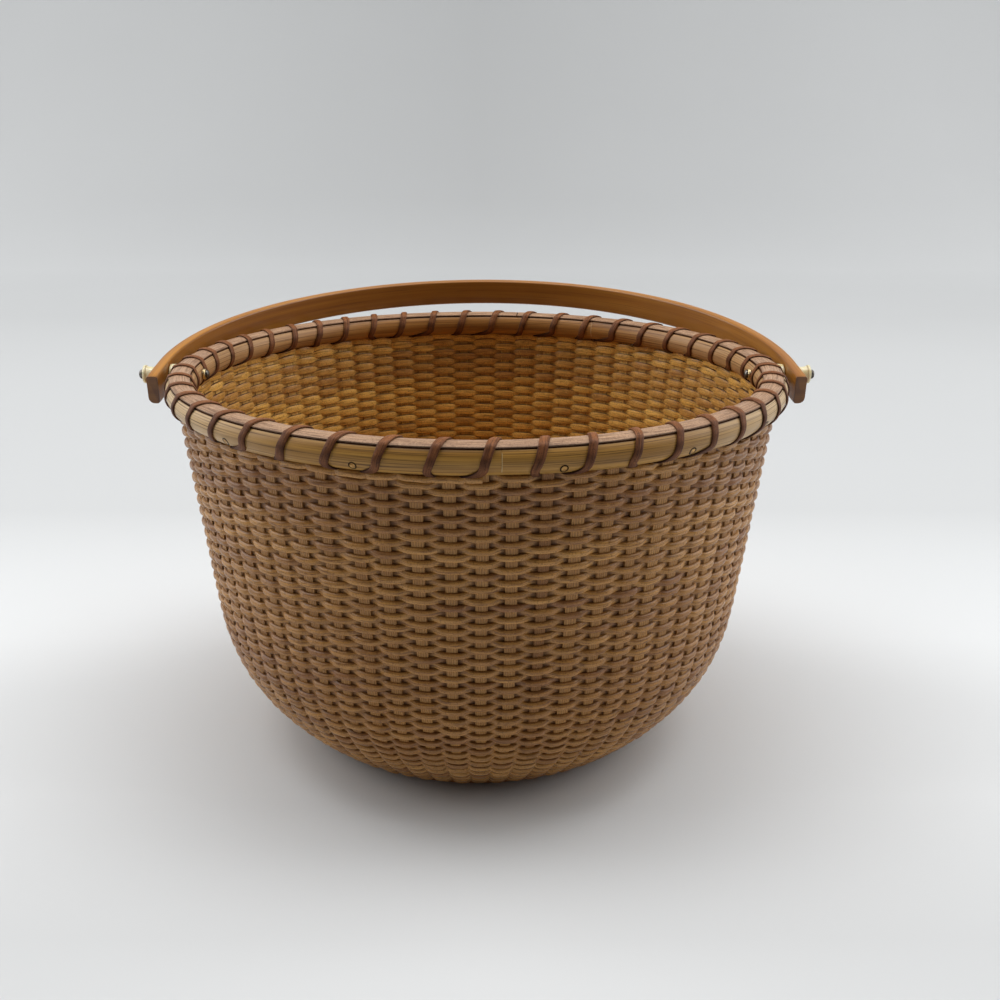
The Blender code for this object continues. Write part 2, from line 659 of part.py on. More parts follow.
def make_burr(name, side):
    """Small washer under the peened inner end of the rivet."""
    section = [(BORE_RADIUS, BURR_INNER_X), (BURR_RADIUS, BURR_INNER_X),
               (BURR_RADIUS, BURR_OUTER_X), (BORE_RADIUS, BURR_OUTER_X)]
    bm = turned_ring(section, HARDWARE_SEGMENTS)
    return make_on_pivot(name, bm, side, (0.70, 0.58, 0.35), 0.30, 0.9)


def make_spacer(name, side):
    """Bone washer seated in the outer hoop, which keeps the handle off the lashing."""
    section = [
        (BORE_RADIUS, SPACER_INNER_X),
        (SPACER_RADIUS, SPACER_INNER_X),
        (SPACER_RADIUS, SPACER_OUTER_X - SPACER_CHAMFER),
        (SPACER_RADIUS - SPACER_CHAMFER, SPACER_OUTER_X),
        (BORE_RADIUS, SPACER_OUTER_X),
    ]
    bm = turned_ring(section, HARDWARE_SEGMENTS)
    return make_on_pivot(name, bm, side, (0.80, 0.74, 0.52), 0.30)


def make_knob(name, side):
    """Turned bone knob outside the handle, waisted, with a raised lip at its end."""
    lip_x = KNOB_OUTER_X - KNOB_LIP_LENGTH
    section = [
        (BORE_RADIUS, KNOB_INNER_X),
        (KNOB_RADIUS, KNOB_INNER_X),
        (KNOB_WAIST_RADIUS, (KNOB_INNER_X + lip_x) / 2),
        (KNOB_RADIUS, lip_x),
        (KNOB_LIP_RADIUS, lip_x + KNOB_CHAMFER),
        (KNOB_LIP_RADIUS, KNOB_OUTER_X - KNOB_CHAMFER),
        (KNOB_LIP_RADIUS - KNOB_CHAMFER, KNOB_OUTER_X),
        (BORE_RADIUS, KNOB_OUTER_X),
    ]
    bm = turned_ring(section, HARDWARE_SEGMENTS)
    return make_on_pivot(name, bm, side, (0.80, 0.74, 0.52), 0.25)


def cut_pivot_seats(outer_hoop, inner_hoop, woven_body, handle):
    """Bores for the two rivets and the flats on which the bone spacers seat."""
    for side, word in ((-1, "left"), (1, "right")):
        inner = Vector((side * (BURR_INNER_X - CUT_OVERRUN), 0, PIVOT_Z))
        outer = Vector((side * (HANDLE_OUTER_X + CUT_OVERRUN), 0, PIVOT_Z))
        bore = rod_cutter("pivot_bore_" + word, BORE_RADIUS, inner, outer, HARDWARE_SEGMENTS)
        flat = rod_cutter("spot_face_" + word, SPOT_FACE_RADIUS,
                          Vector((side * SPOT_FACE_X, 0, PIVOT_Z)), outer, HARDWARE_SEGMENTS)
        cut(outer_hoop, flat)
        for piece in (outer_hoop, inner_hoop, woven_body, handle):
            cut(piece, bore)


def build():
    for old in list(bpy.data.objects):
        bpy.data.objects.remove(old, do_unlink=True)
    make_base_disc()
    make_base_plug()
    woven_body = make_woven_body()
    outer_hoop = make_hoop("outer_hoop", OUTER_HOOP_FLAT_R, 1, OUTER_SCARF_AZIMUTH,
                           (0.48, 0.36, 0.17))
    inner_hoop = make_hoop("inner_hoop", INNER_HOOP_FLAT_R, -1, INNER_SCARF_AZIMUTH,
                           (0.44, 0.31, 0.15))
    make_rim_cap()
    make_rim_lashing()
    make_rim_pins(outer_hoop, inner_hoop)
    handle = make_handle()
    for side, word in ((-1, "left"), (1, "right")):
        make_rivet("pivot_rivet_" + word, side)
        make_burr("rivet_burr_" + word, side)
        make_spacer("bone_spacer_" + word, side)
        make_knob("bone_knob_" + word, side)
    cut_pivot_seats(outer_hoop, inner_hoop, woven_body, handle)


build()
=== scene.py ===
"""Looks of the woven basket with a swing handle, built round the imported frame.

Units are metres and the frame's axes are kept: +Z up, the front at -Y, and azimuths
grow from the front towards +X. Sizes repeat the CAD source's, so every piece fits the
space of the CAD node that it replaces.
"""

import math

import bpy
import numpy as np
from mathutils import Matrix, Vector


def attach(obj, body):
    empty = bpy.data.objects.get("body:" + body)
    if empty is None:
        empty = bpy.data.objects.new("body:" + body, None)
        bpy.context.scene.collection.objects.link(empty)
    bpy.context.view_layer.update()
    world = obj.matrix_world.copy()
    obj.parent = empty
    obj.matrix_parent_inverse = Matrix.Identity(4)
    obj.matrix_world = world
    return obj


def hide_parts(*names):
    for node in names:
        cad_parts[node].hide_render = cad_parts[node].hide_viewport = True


MM = 0.001
DEGREE = math.pi / 180
TURN = 2 * math.pi

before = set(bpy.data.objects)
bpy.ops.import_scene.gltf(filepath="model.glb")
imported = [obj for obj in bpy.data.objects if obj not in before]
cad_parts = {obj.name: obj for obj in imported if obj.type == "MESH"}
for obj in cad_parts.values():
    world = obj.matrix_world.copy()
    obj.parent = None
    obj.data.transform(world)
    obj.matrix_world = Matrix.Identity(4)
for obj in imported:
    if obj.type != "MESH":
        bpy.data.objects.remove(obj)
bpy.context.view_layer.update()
rng = np.random.default_rng(1905)

# Camera: found from the rim's two ellipses and the base in the photograph
CAMERA_PLACE = (0.0, -0.45774, 0.25199)
CAMERA_PITCH = 19.065 * DEGREE
CAMERA_LENS = 40.745
CAMERA_SHIFT_X = 0.0233

# Rim sizes
RIM_RADIUS = 124.2 * MM
HOOP_UNDERSIDE_Z = 143.3 * MM
HOOP_HEIGHT = 10.2 * MM
HOOP_THICKNESS = 4.8 * MM
SEAT_GAP = 0.3 * MM
STAVE_THICKNESS = 1.2 * MM
CAP_WIDTH = 7.8 * MM
CAP_THICKNESS = 0.5 * MM
CAP_ARCH = 0.95 * MM
CAP_AZIMUTH = 170.0 * DEGREE
SCARF_LENGTH = 26.0 * MM
OUTER_SCARF_AZIMUTH = 3.6 * DEGREE
INNER_SCARF_AZIMUTH = 150.0 * DEGREE
OUTER_HOOP_FLAT_R = RIM_RADIUS - HOOP_THICKNESS
STAVE_OUTER_R = OUTER_HOOP_FLAT_R - SEAT_GAP
STAVE_INNER_R = STAVE_OUTER_R - STAVE_THICKNESS
INNER_HOOP_FLAT_R = STAVE_INNER_R - SEAT_GAP
INNER_HOOP_FACE_R = INNER_HOOP_FLAT_R - HOOP_THICKNESS
RIM_MID_R = (RIM_RADIUS + INNER_HOOP_FACE_R) / 2
HOOP_MID_Z = HOOP_UNDERSIDE_Z + HOOP_HEIGHT / 2
HOOP_TOP_Z = HOOP_UNDERSIDE_Z + HOOP_HEIGHT
CAP_TOP_Z = HOOP_TOP_Z + SEAT_GAP + CAP_THICKNESS
RIM_MID_Z = (HOOP_UNDERSIDE_Z + CAP_TOP_Z) / 2

# Wall, staves and weaver
STAVE_COUNT = 69
STAVE_AZIMUTH = 0.7 * DEGREE
STAVE_WIDTH = 4.6 * MM
STAVE_TOP_Z = HOOP_TOP_Z - 1.5 * MM
STAVE_PITCH = TURN / STAVE_COUNT
WEAVER_THICKNESS = 1.1 * MM
WEAVE_TOP_Z = HOOP_UNDERSIDE_Z - 1.8 * MM
WEAVE_LIMIT_Z = HOOP_UNDERSIDE_Z - 0.15 * MM
WEAVE_FOOT_R = 71.6 * MM
LASH_DIP = 0.7 * MM
WALL_TOP_R = STAVE_OUTER_R + WEAVER_THICKNESS
WALL_TAPER = 0.122
WALL_START_Z = 3.7 * MM
BASE_RADIUS = 72.0 * MM
BOWL_HEIGHT = 62.0 * MM
BOWL_POWER = 2.5
BOWL_DRAW = WALL_TOP_R - WALL_TAPER * WEAVE_TOP_Z - BASE_RADIUS - 0.54 * MM
WALL_MID_DEPTH = WEAVER_THICKNESS + STAVE_THICKNESS / 2
ROW_PITCH = 2.39 * MM
WEAVER_HEIGHT = 2.45 * MM
WEAVER_HEIGHT_AT_CROSSING = 2.78 * MM
WEAVER_HEIGHT_INSIDE = 3.5 * MM
WEAVER_DROP = 0.17 * MM
WEAVER_TILT = 0.15 * MM
WEAVER_SWING = (STAVE_THICKNESS + WEAVER_THICKNESS) / 2
WEAVER_TIGHTNESS = 1.7
STEPS_PER_STAVE = 10
WEAVER_LENGTHS = 6
ROW_JITTER = 0.06 * MM
HEIGHT_JITTER = 0.045
SWING_JITTER = 0.05 * MM

# Base
BASE_UPPER_RADIUS = 70.0 * MM
BASE_THICKNESS = 9.0 * MM
BASE_RING_R = BASE_RADIUS * 0.6
BASE_RING_HALF_WIDTH = 1.0 * MM
BASE_RING_DEPTH = 0.6 * MM
BASE_ROUNDING = 2.0 * MM
GROOVE_Z = 2.4 * MM
GROOVE_HEIGHT = 2.2 * MM
GROOVE_TOP_Z = GROOVE_Z + GROOVE_HEIGHT
GROOVE_R = BASE_RADIUS - 9.0 * MM
STAVE_START = (GROOVE_R + 0.6 * MM, GROOVE_Z + GROOVE_HEIGHT / 2)
PLUG_RADIUS = 8.0 * MM
PLUG_CHAMFER = 0.4 * MM

# Lashing and pins
LASH_TURNS = 46
LASH_PITCH = TURN / LASH_TURNS
LASH_WIDTH = 3.0 * MM
LASH_THICKNESS = 0.65 * MM
LASH_SEAT_GAP = 0.12 * MM
LASH_FRONT_AZIMUTH = 1.2 * DEGREE
LASH_PIVOT_SHIFT = -2.185 * DEGREE
LASH_SLANT = 0.568 * DEGREE
LASH_CROSSING_LAG = 0.32 * LASH_PITCH
LASH_CROSSING_SLANT = 0.4 * DEGREE
LASH_STEPS = 44
PIN_HEIGHT = 2.4 * MM
PIN_RADIUS = 0.55 * MM
PIN_HEAD_RADIUS = 1.4 * MM

# Handle and pivots
PIVOT_Z = HOOP_UNDERSIDE_Z + HOOP_HEIGHT * 0.525
HANDLE_INNER_X = RIM_RADIUS + 2.0 * MM
HANDLE_THICKNESS = 4.3 * MM
HANDLE_WIDTH = 11.7 * MM
HANDLE_REACH = RIM_RADIUS + 6.8 * MM
HANDLE_LEAN = 4.0 * MM
HANDLE_TAIL = 19.5 * MM
HANDLE_FOLD_ANGLE = 6.2 * DEGREE
HANDLE_EASE = 0.9 * MM
HANDLE_TAIL_STEPS = 14
RIVET_RADIUS = 1.2 * MM
BORE_RADIUS = RIVET_RADIUS + SEAT_GAP
SPACER_LENGTH = 3.0 * MM
KNOB_LENGTH = 6.2 * MM
BURR_THICKNESS = 1.0 * MM

# Radius at which a turned piece's outline meets its axis
AXIS_RADIUS = 0.05 * MM


def rgb(red, green, blue):
    """Linear colour from display values of 0 to 255."""
    values = np.array([red, green, blue]) / 255.0
    linear = np.where(values <= 0.04045, values / 12.92, ((values + 0.055) / 1.055) ** 2.4)
    return (*linear.tolist(), 1.0)


def polar(radius, azimuth, z):
    """Points at azimuths from the front, -Y, growing towards +X."""
    radius, azimuth, z = np.broadcast_arrays(radius, azimuth, z)
    return np.stack([radius * np.sin(azimuth), -radius * np.cos(azimuth), z], -1)


def clamp(share):
    return np.clip(share, 0, 1)


def smooth(share):
    return share * share * (3 - 2 * share)


def at_crossings(values, place):
    """Values given at whole places, blended smoothly in between."""
    index = np.floor(place).astype(int)
    blend = smooth(place - index)
    return values[index] * (1 - blend) + values[index + 1] * blend


# ---- Materials ----

# The cane's inner side is lighter and more golden than its weathered outside; these tints also
# hold painted light, making it lighter still for the light inside the bowl
INNER_TINT_AND_PAINTED_LIGHT = (1.62, 1.94, 1.86, 1.0)
STAVE_INNER_TINT_AND_PAINTED_LIGHT = (2.05, 2.4, 2.3, 1.0)


class Shader:
    """A Principled material with short ways to make and join its nodes."""

    def __init__(self, name, roughness=0.5, metallic=0.0, specular=0.5, coat=0.0,
                 coat_roughness=0.2):
        self.material = bpy.data.materials.new(name)
        self.material.use_nodes = True
        self.tree = self.material.node_tree
        self.surface = self.tree.nodes["Principled BSDF"]
        for key, value in (("Roughness", roughness), ("Metallic", metallic),
                           ("Specular IOR Level", specular), ("Coat Weight", coat),
                           ("Coat Roughness", coat_roughness)):
            self.surface.inputs[key].default_value = value

    def node(self, kind, settings=None, **inputs):
        """A node by the end of its type's name, with settings and inputs by name."""
        made = self.tree.nodes.new("ShaderNode" + kind)
        for key, value in (settings or {}).items():
            setattr(made, key, value)
        for key, value in inputs.items():
            self.put(made.inputs[key.replace("_", " ")], value)
        return made

    def put(self, socket, value):
        if isinstance(value, bpy.types.NodeSocket):
            self.tree.links.new(value, socket)
        else:
            socket.default_value = value

    def fill(self, made, *values):
        """Put values in a node's inputs in turn, and give its first output."""
        for socket, value in zip(made.inputs, values):
            self.put(socket, value)
        return made.outputs[0]

    def math(self, operation, first, second=0.0):
        return self.fill(self.node("Math", {"operation": operation}), first, second)

    def attribute(self, name):
        return self.node("Attribute", {"attribute_name": name}).outputs["Fac"]

    def grain(self, along, across, offset=0.0):
        """Grain coordinates: along and across are repeats per metre."""
        uv = self.node("UVMap", {"uv_map": "Grain"}).outputs[0]
        scaled = self.node("Mapping", Vector=uv, Scale=(along, across, 1.0),
                           Location=(offset, offset, 0.0))
        return scaled.outputs[0]

    def place(self, scale):
        """Coordinates on the object: repeats per metre, the same on all axes."""
        here = self.node("TexCoord").outputs["Object"]
        return self.node("Mapping", Vector=here, Scale=(scale, scale, scale)).outputs[0]

    def noise(self, vector, detail=3.0, roughness=0.5):
        made = self.node("TexNoise", Vector=vector, Scale=1.0, Detail=detail, Roughness=roughness)
        return made.outputs["Fac"]

    def ramp(self, value, low=0.0, high=1.0, top=1.0, bottom=0.0):
        """Straight ramp from bottom at low to top at high, held level beyond them."""
        return self.fill(self.node("MapRange", {"clamp": True}), value, low, high, bottom, top)

    def mix(self, share, first, second, blend="MIX"):
        made = self.node("Mix", {"data_type": "RGBA", "blend_type": blend})
        self.put(made.inputs[0], share)
        self.put(made.inputs[6], first)
        self.put(made.inputs[7], second)
        return made.outputs[2]

    def finish(self, color, roughness=None, height=None, depth=0.0001, strength=0.5):
        self.put(self.surface.inputs["Base Color"], color)
        if roughness is not None:
            self.put(self.surface.inputs["Roughness"], roughness)
        if height is not None:
            bump = self.node("Bump", Height=height, Strength=strength, Distance=depth)
            self.put(self.surface.inputs["Normal"], bump.outputs[0])
        return self.material


def cane_material(name, light, dark, streak, mauve, gloss=0.42, streaks=3600.0,
                  recess_shade=(56, 28, 9), specular=0.34):
    """Split cane: fine lengthwise fibres, tone that changes along a length, painted shade in its
    recesses.
    """
    s = Shader(name, roughness=gloss, specular=specular)
    tone = s.attribute("tone")
    # Painted shade: sunk, edge and deep darken the cane towards the recess colour where it turns
    # away behind a stave and at its edges there; the lit inner side gets less of it
    sunk = s.attribute("sunk")
    edge = s.math("POWER", s.attribute("edge"), 2.0)
    level = s.math("SUBTRACT", 1.0, s.math("ABSOLUTE", sunk))
    hidden = s.math("ADD", sunk, s.math("MULTIPLY", s.math("MULTIPLY", edge, level), 0.9))
    amber = s.attribute("amber")
    shade = s.math("MULTIPLY", s.ramp(hidden, 0.52, 1.10), s.ramp(amber, top=0.12, bottom=1.0))
    deep = s.math("MAXIMUM", s.attribute("deep"), shade)
    fibre = s.noise(s.grain(70.0, streaks), detail=4.0, roughness=0.6)
    split = s.noise(s.grain(95.0, 1250.0, 9.1), roughness=0.65)
    cloud = s.noise(s.grain(60.0, 260.0, 3.7), detail=2.0)
    fleck = s.noise(s.place(900.0), detail=2.0)
    speck = s.noise(s.place(1700.0), detail=2.0, roughness=0.6)
    body = s.mix(s.ramp(tone), dark, light)
    body = s.mix(s.ramp(cloud, 0.35, 0.75, 0.55), body, s.mix(0.5, body, dark))
    body = s.mix(s.ramp(s.attribute("mauve")), body, mauve)
    body = s.mix(s.ramp(split, 0.52, 0.66, 0.62), body, streak)
    body = s.mix(s.ramp(fibre, 0.46, 0.70, 0.8), body, streak)
    body = s.mix(s.ramp(fleck, 0.58, 0.76, 0.4), body, light)
    body = s.mix(s.ramp(split, 0.30, 0.44, 0.0, 0.42), body, light)
    body = s.mix(s.ramp(speck, 0.52, 0.70, 0.60), body, streak)
    # Painted light: the inner side is multiplied lighter by its tint
    body = s.mix(amber, body, INNER_TINT_AND_PAINTED_LIGHT, "MULTIPLY")
    body = s.mix(s.ramp(deep, top=0.92), body, rgb(*recess_shade))
    rough = s.ramp(fibre, 0.3, 0.8, gloss + 0.16, gloss - 0.06)
    rough = s.math("MAXIMUM", rough, deep)
    height = s.math("ADD", fibre, s.math("MULTIPLY", cloud, 0.4))
    return s.finish(body, rough, height, 0.00016, 0.55)


def stave_material():
    """Wide flat cane with fine grooves along it."""
    s = Shader("stave_cane", roughness=0.5, specular=0.4)
    tone = s.attribute("tone")
    groove = s.node("TexWave", {"wave_type": "BANDS", "bands_direction": "Y"},
                    Vector=s.grain(8.0, 350.0), Scale=1.0, Distortion=2.6, Detail=2.0,
                    Detail_Scale=1.6).outputs["Fac"]
    fibre = s.noise(s.grain(50.0, 3800.0))
    body = s.mix(tone, rgb(147, 99, 50), rgb(193, 142, 80))
    body = s.mix(s.ramp(groove, 0.0, 0.30, 0.0, 0.42), body, rgb(96, 58, 26))
    body = s.mix(s.ramp(fibre, 0.5, 0.75, 0.5), body, rgb(112, 72, 36))
    # Painted light on the inner side through its tint, then painted shade where deep is
    body = s.mix(s.attribute("amber"), body, STAVE_INNER_TINT_AND_PAINTED_LIGHT, "MULTIPLY")
    body = s.mix(s.attribute("deep"), body, rgb(52, 28, 10))
    height = s.math("ADD", groove, s.math("MULTIPLY", fibre, 0.3))
    return s.finish(body, 0.5, height, 0.00022, 0.8)


def hoop_material(name, light, dark, streak):
    """Polished split rattan: long fine streaks, paler towards its sides with a painted sheen, and
    painted shade where it is deep.
    """
    s = Shader(name, roughness=0.42, specular=0.32, coat=0.06, coat_roughness=0.3)
    fine = s.noise(s.grain(16.0, 2300.0), detail=4.0, roughness=0.6)
    broad = s.noise(s.grain(7.0, 420.0, 2.0))
    patch = s.noise(s.grain(22.0, 90.0, 5.0), detail=2.0)
    body = s.mix(s.ramp(broad, 0.36, 0.66), light, dark)
    body = s.mix(s.ramp(patch, 0.42, 0.7, 0.5), body, light)
    body = s.mix(s.math("MULTIPLY", s.attribute("cream"), 0.62), body, rgb(226, 202, 164))
    body = s.mix(s.ramp(fine, 0.50, 0.66, 0.9), body, streak)
    body = s.mix(s.ramp(s.attribute("deep"), top=0.9), body, rgb(72, 46, 22))
    body = s.mix(s.attribute("pale"), body, rgb(226, 205, 160))
    rough = s.ramp(fine, 0.3, 0.8, 0.56, 0.38)
    return s.finish(body, rough, s.math("ADD", fine, broad), 0.0002, 0.35)


def wood_material(name, light, dark, line, along=5.0, across=240.0, coat=0.18):
    """Oiled wood; along and across are its grain's repeats per metre."""
    s = Shader(name, roughness=0.34, coat=coat, coat_roughness=0.18)
    broad = s.noise(s.grain(along, across, 1.0), roughness=0.55)
    fine = s.noise(s.grain(along * 5, across * 9), roughness=0.6)
    cloud = s.noise(s.grain(along * 3, along * 8, 4.0), detail=2.0)
    body = s.mix(s.ramp(broad, 0.34, 0.66), light, dark)
    body = s.mix(s.ramp(cloud, 0.40, 0.72, 0.45), body, dark)
    body = s.mix(s.ramp(fine, 0.54, 0.72, 0.65), body, line)
    body = s.mix(s.attribute("deep"), body, rgb(66, 30, 12))
    rough = s.ramp(fine, 0.3, 0.8, 0.49, 0.34)
    return s.finish(body, rough, s.math("ADD", broad, fine), 0.00012, 0.3)


def bone_material():
    s = Shader("old_bone", roughness=0.26, coat=0.2)
    s.surface.inputs["Subsurface Weight"].default_value = 0.12
    s.surface.inputs["Subsurface Radius"].default_value = (0.002, 0.0012, 0.0006)
    pore = s.noise(s.place(1400.0))
    cloud = s.noise(s.place(260.0), detail=2.0)
    body = s.mix(s.ramp(cloud, 0.35, 0.7), rgb(243, 236, 200), rgb(226, 208, 152))
    body = s.mix(s.ramp(pore, 0.6, 0.75, 0.6), body, rgb(178, 146, 92))
    body = s.mix(s.attribute("deep"), body, rgb(120, 84, 40))
    return s.finish(body, s.ramp(pore, 0.3, 0.8, 0.4, 0.22), pore, 0.00004, 0.3)


def metal_material(name, light, dark, roughness):
    s = Shader(name, roughness=roughness, metallic=1.0)
    worn = s.noise(s.place(700.0), detail=4.0, roughness=0.6)
    scratch = s.noise(s.place(3000.0), detail=2.0)
    body = s.mix(s.ramp(worn, 0.38, 0.64), light, dark)
    body = s.mix(s.attribute("deep"), body, rgb(30, 20, 12))
    rough = s.ramp(worn, 0.3, 0.7, roughness + 0.2, roughness - 0.08)
    return s.finish(body, rough, scratch, 0.00003, 0.4)


# ---- Mesh building ----

def add_object(name, data):
    made = bpy.data.objects.new(name, data)
    bpy.context.scene.collection.objects.link(made)
    return made


def unit(vectors):
    return vectors / np.linalg.norm(vectors, axis=1)[:, None]


def run_length(points):
    """Distance of each point of a line from its first, along the line."""
    return np.concatenate([[0], np.cumsum(np.linalg.norm(np.diff(points, axis=0), axis=1))])


def grid_mesh(name, points, along, across, material, closed_along=False, closed_around=True,
              caps=True, sharp=50.0, **attributes):
    """A mesh over a grid of points; the second index goes round the section.

    along and across are the grain coordinates of the grid's lines, and each attribute is
    given for all points or in a shape that spreads over them.
    """
    count, size = points.shape[:2]
    row = np.arange(count if closed_along else count - 1)
    column = np.arange(size if closed_around else size - 1)
    a, b = np.meshgrid(row, column, indexing="ij")
    here, above = a * size, (a + 1) % count * size
    beside = (b + 1) % size
    quads = np.stack([here + b, here + beside, above + beside, above + b], -1)
    along = np.asarray(along)
    across = np.asarray(across)
    corner_u = np.stack([along[a], along[a], along[a + 1], along[a + 1]], -1)
    corner_v = np.stack([across[b], across[b + 1], across[b + 1], across[b]], -1)
    uv = np.stack([corner_u, corner_v], -1).reshape(-1, 4, 2)
    quads = quads.reshape(-1, 4)
    flat = points.reshape(-1, 3)
    p0, p1, p2, p3 = (flat[quads[:, i]] for i in range(4))
    centre = flat.mean(0)
    inside_out = np.einsum("ij,ij->i", p0 - centre, np.cross(p2 - p0, p3 - p1)).sum() < 0
    if inside_out:
        quads = quads[:, ::-1]
        uv = uv[:, ::-1]
    loops = quads.ravel()
    uv = uv.reshape(-1, 2)
    starts = np.arange(len(quads)) * 4
    if caps and not closed_along:
        first = np.arange(size)
        last = first + (count - 1) * size
        ends = (first, last[::-1]) if inside_out else (first[::-1], last)
        for end in ends:
            starts = np.append(starts, len(loops))
            loops = np.concatenate([loops, end])
            spot = flat[end] - flat[end].mean(0)
            uv = np.concatenate([uv, np.stack([spot[:, 0] + spot[:, 1], spot[:, 2]], -1)])
    mesh = bpy.data.meshes.new(name)
    mesh.vertices.add(len(flat))
    mesh.vertices.foreach_set("co", flat.astype(np.float32).ravel())
    mesh.loops.add(len(loops))
    mesh.loops.foreach_set("vertex_index", loops.astype(np.int32))
    mesh.polygons.add(len(starts))
    mesh.polygons.foreach_set("loop_start", starts.astype(np.int32))
    mesh.update(calc_edges=True)
    layer = mesh.uv_layers.new(name="Grain")
    layer.data.foreach_set("uv", uv.astype(np.float32).ravel())
    for key, values in attributes.items():
        spread = np.broadcast_to(values, (count, size)).astype(np.float32)
        mesh.attributes.new(key, "FLOAT", "POINT").data.foreach_set("value", spread.ravel())
    mesh.validate()
    mesh.shade_smooth()
    mesh.set_sharp_from_angle(angle=math.radians(sharp))
    mesh.materials.append(material)
    return add_object(name, mesh)


def settle(piece, body, node):
    """Tell the frame what a piece rides on and the CAD node it stands for."""
    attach(piece, body)
    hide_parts(node)


def joined(name, pieces):
    """Join loose pieces of one kind into one object."""
    bpy.ops.object.select_all(action="DESELECT")
    for piece in pieces:
        piece.select_set(True)
    bpy.context.view_layer.objects.active = pieces[0]
    bpy.ops.object.join()
    pieces[0].name = name
    pieces[0].data.name = name
    return pieces[0]


def turned(kind, word, profile, material, segments, place=None, deep=0.0, sharp=35.0):
    """Spin a profile of (radius, height) points into the piece for a CAD node of the basket.

    A profile that starts and ends at the axis gets tiny caps there, and any other is
    closed from its last point to its first.
    """
    profile = np.array(profile)
    angle = np.arange(segments) / segments * TURN
    points = polar(profile[:, 0], angle[:, None], profile[:, 1])
    if place is not None:
        points = place(points)
    length = run_length(profile)
    around = np.arange(segments + 1) / segments * TURN * profile[:, 0].max()
    solid = profile[0, 0] == profile[-1, 0] and profile[0, 0] < 2 * AXIS_RADIUS
    if solid:
        grid = (points.transpose(1, 0, 2), length, around)
    else:
        closing = np.linalg.norm(profile[0] - profile[-1])
        grid = (points, around, np.append(length, length[-1] + closing))
    name = f"{kind}_turned_{word}" if word else f"{kind}_turned"
    piece = grid_mesh(name, *grid, material, closed_along=not solid, deep=deep, sharp=sharp)
    settle(piece, "basket", f"{kind}_{word}" if word else kind)
    return piece


# ---- Wall: staves and one long weaver ----

def wall_profile():
    """The staves' middle surface: length along it, radius, height and outward normal.

    The wall is a cone that draws in to a bowl below, and then bends into the base's groove.
    """
    z = np.linspace(WALL_START_Z, WEAVE_LIMIT_Z, 900)
    depth = np.maximum(0.0, 1.0 - z / BOWL_HEIGHT)
    radius = WALL_TOP_R - WALL_TAPER * (WEAVE_TOP_Z - z) - BOWL_DRAW * depth ** BOWL_POWER
    slope = WALL_TAPER + BOWL_POWER * BOWL_DRAW / BOWL_HEIGHT * depth ** (BOWL_POWER - 1)
    length = np.hypot(slope, 1.0)
    mid_r = radius - WALL_MID_DEPTH / length
    mid_z = z + WALL_MID_DEPTH * slope / length
    groove_r, groove_z = STAVE_START
    share = np.linspace((WEAVE_FOOT_R - groove_r) / (mid_r[0] - groove_r), 1, 30)[:-1]
    mid_r = np.concatenate([groove_r + (mid_r[0] - groove_r) * share, mid_r])
    mid_z = np.concatenate([groove_z + (mid_z[0] - groove_z) * share ** 3, mid_z])
    along = run_length(np.stack([mid_r, mid_z], -1))
    even = np.linspace(0, along[-1], 1200)
    mid_r, mid_z = (np.interp(even, along, values) for values in (mid_r, mid_z))
    reach = 13
    slopes = [np.pad(np.gradient(values), reach, mode="edge") for values in (mid_r, mid_z)]
    kernel = np.hanning(2 * reach + 1)
    slope_r, slope_z = (np.convolve(values, kernel, "valid") for values in slopes)
    length = np.hypot(slope_r, slope_z)
    return even, mid_r, mid_z, slope_z / length, -slope_r / length


WALL = wall_profile()
WALL_LENGTH = WALL[0][-1]


def on_wall(along):
    """Radius, height and outward normal of the middle surface at a length along it."""
    return [np.interp(along, WALL[0], column) for column in WALL[1:]]


# Each stave's own lean and phase, with one of each to spare
stave_lean = rng.normal(0, 0.16, STAVE_COUNT + 1)
stave_phase = rng.uniform(0, TURN, STAVE_COUNT + 1)


def stave_wander(index, along):
    """Small sideways wander of a stave, as an angle."""
    index = np.mod(index, STAVE_COUNT).astype(int)
    wave = 0.10 * np.sin(along / (17 * MM) + stave_phase[index])
    return np.radians(stave_lean[index] + wave)


def row_wander(azimuth, along):
    """Rise and fall that neighbouring rows of the weave share."""
    low = clamp(1 - along / (34 * MM))
    gentle = 0.22 * np.sin(3 * azimuth + along / (31 * MM) + 1.0)
    gentle += 0.16 * np.sin(7 * azimuth - along / (19 * MM) + 2.1)
    lively = 0.30 * np.sin(11 * azimuth + along / (9 * MM))
    lively += 0.22 * np.sin(17 * azimuth - along / (7 * MM))
    edge = clamp(np.minimum(along, WALL_LENGTH - along) / (6 * MM))
    return MM * (gentle + lively * low) * edge


# Half-round section of the strand: share of its height and of its thickness, round side out
WEAVER_SECTION = np.array([
    (-1, -0.46), (-1, -0.16), (-0.82, 0.22), (-0.45, 0.43), (0, 0.50), (0.45, 0.43),
    (0.82, 0.22), (1, -0.16), (1, -0.46), (0.80, -0.56), (0, -0.64), (-0.80, -0.56)])

# Packed rows swell towards the middle of the wall, where the staves and their neighbours hold
# them: the round side when the strand runs inside a stave, the flat side when it runs outside
SWELL_INSIDE = np.array([0, 0.90, 0.52, 0.25, 0.15, 0.25, 0.52, 0.90, 0, 0, 0, 0])
SWELL_OUTSIDE = np.array([-0.75, 0, 0, 0, 0, 0, 0, 0, -0.75, -0.62, -0.62, -0.62])


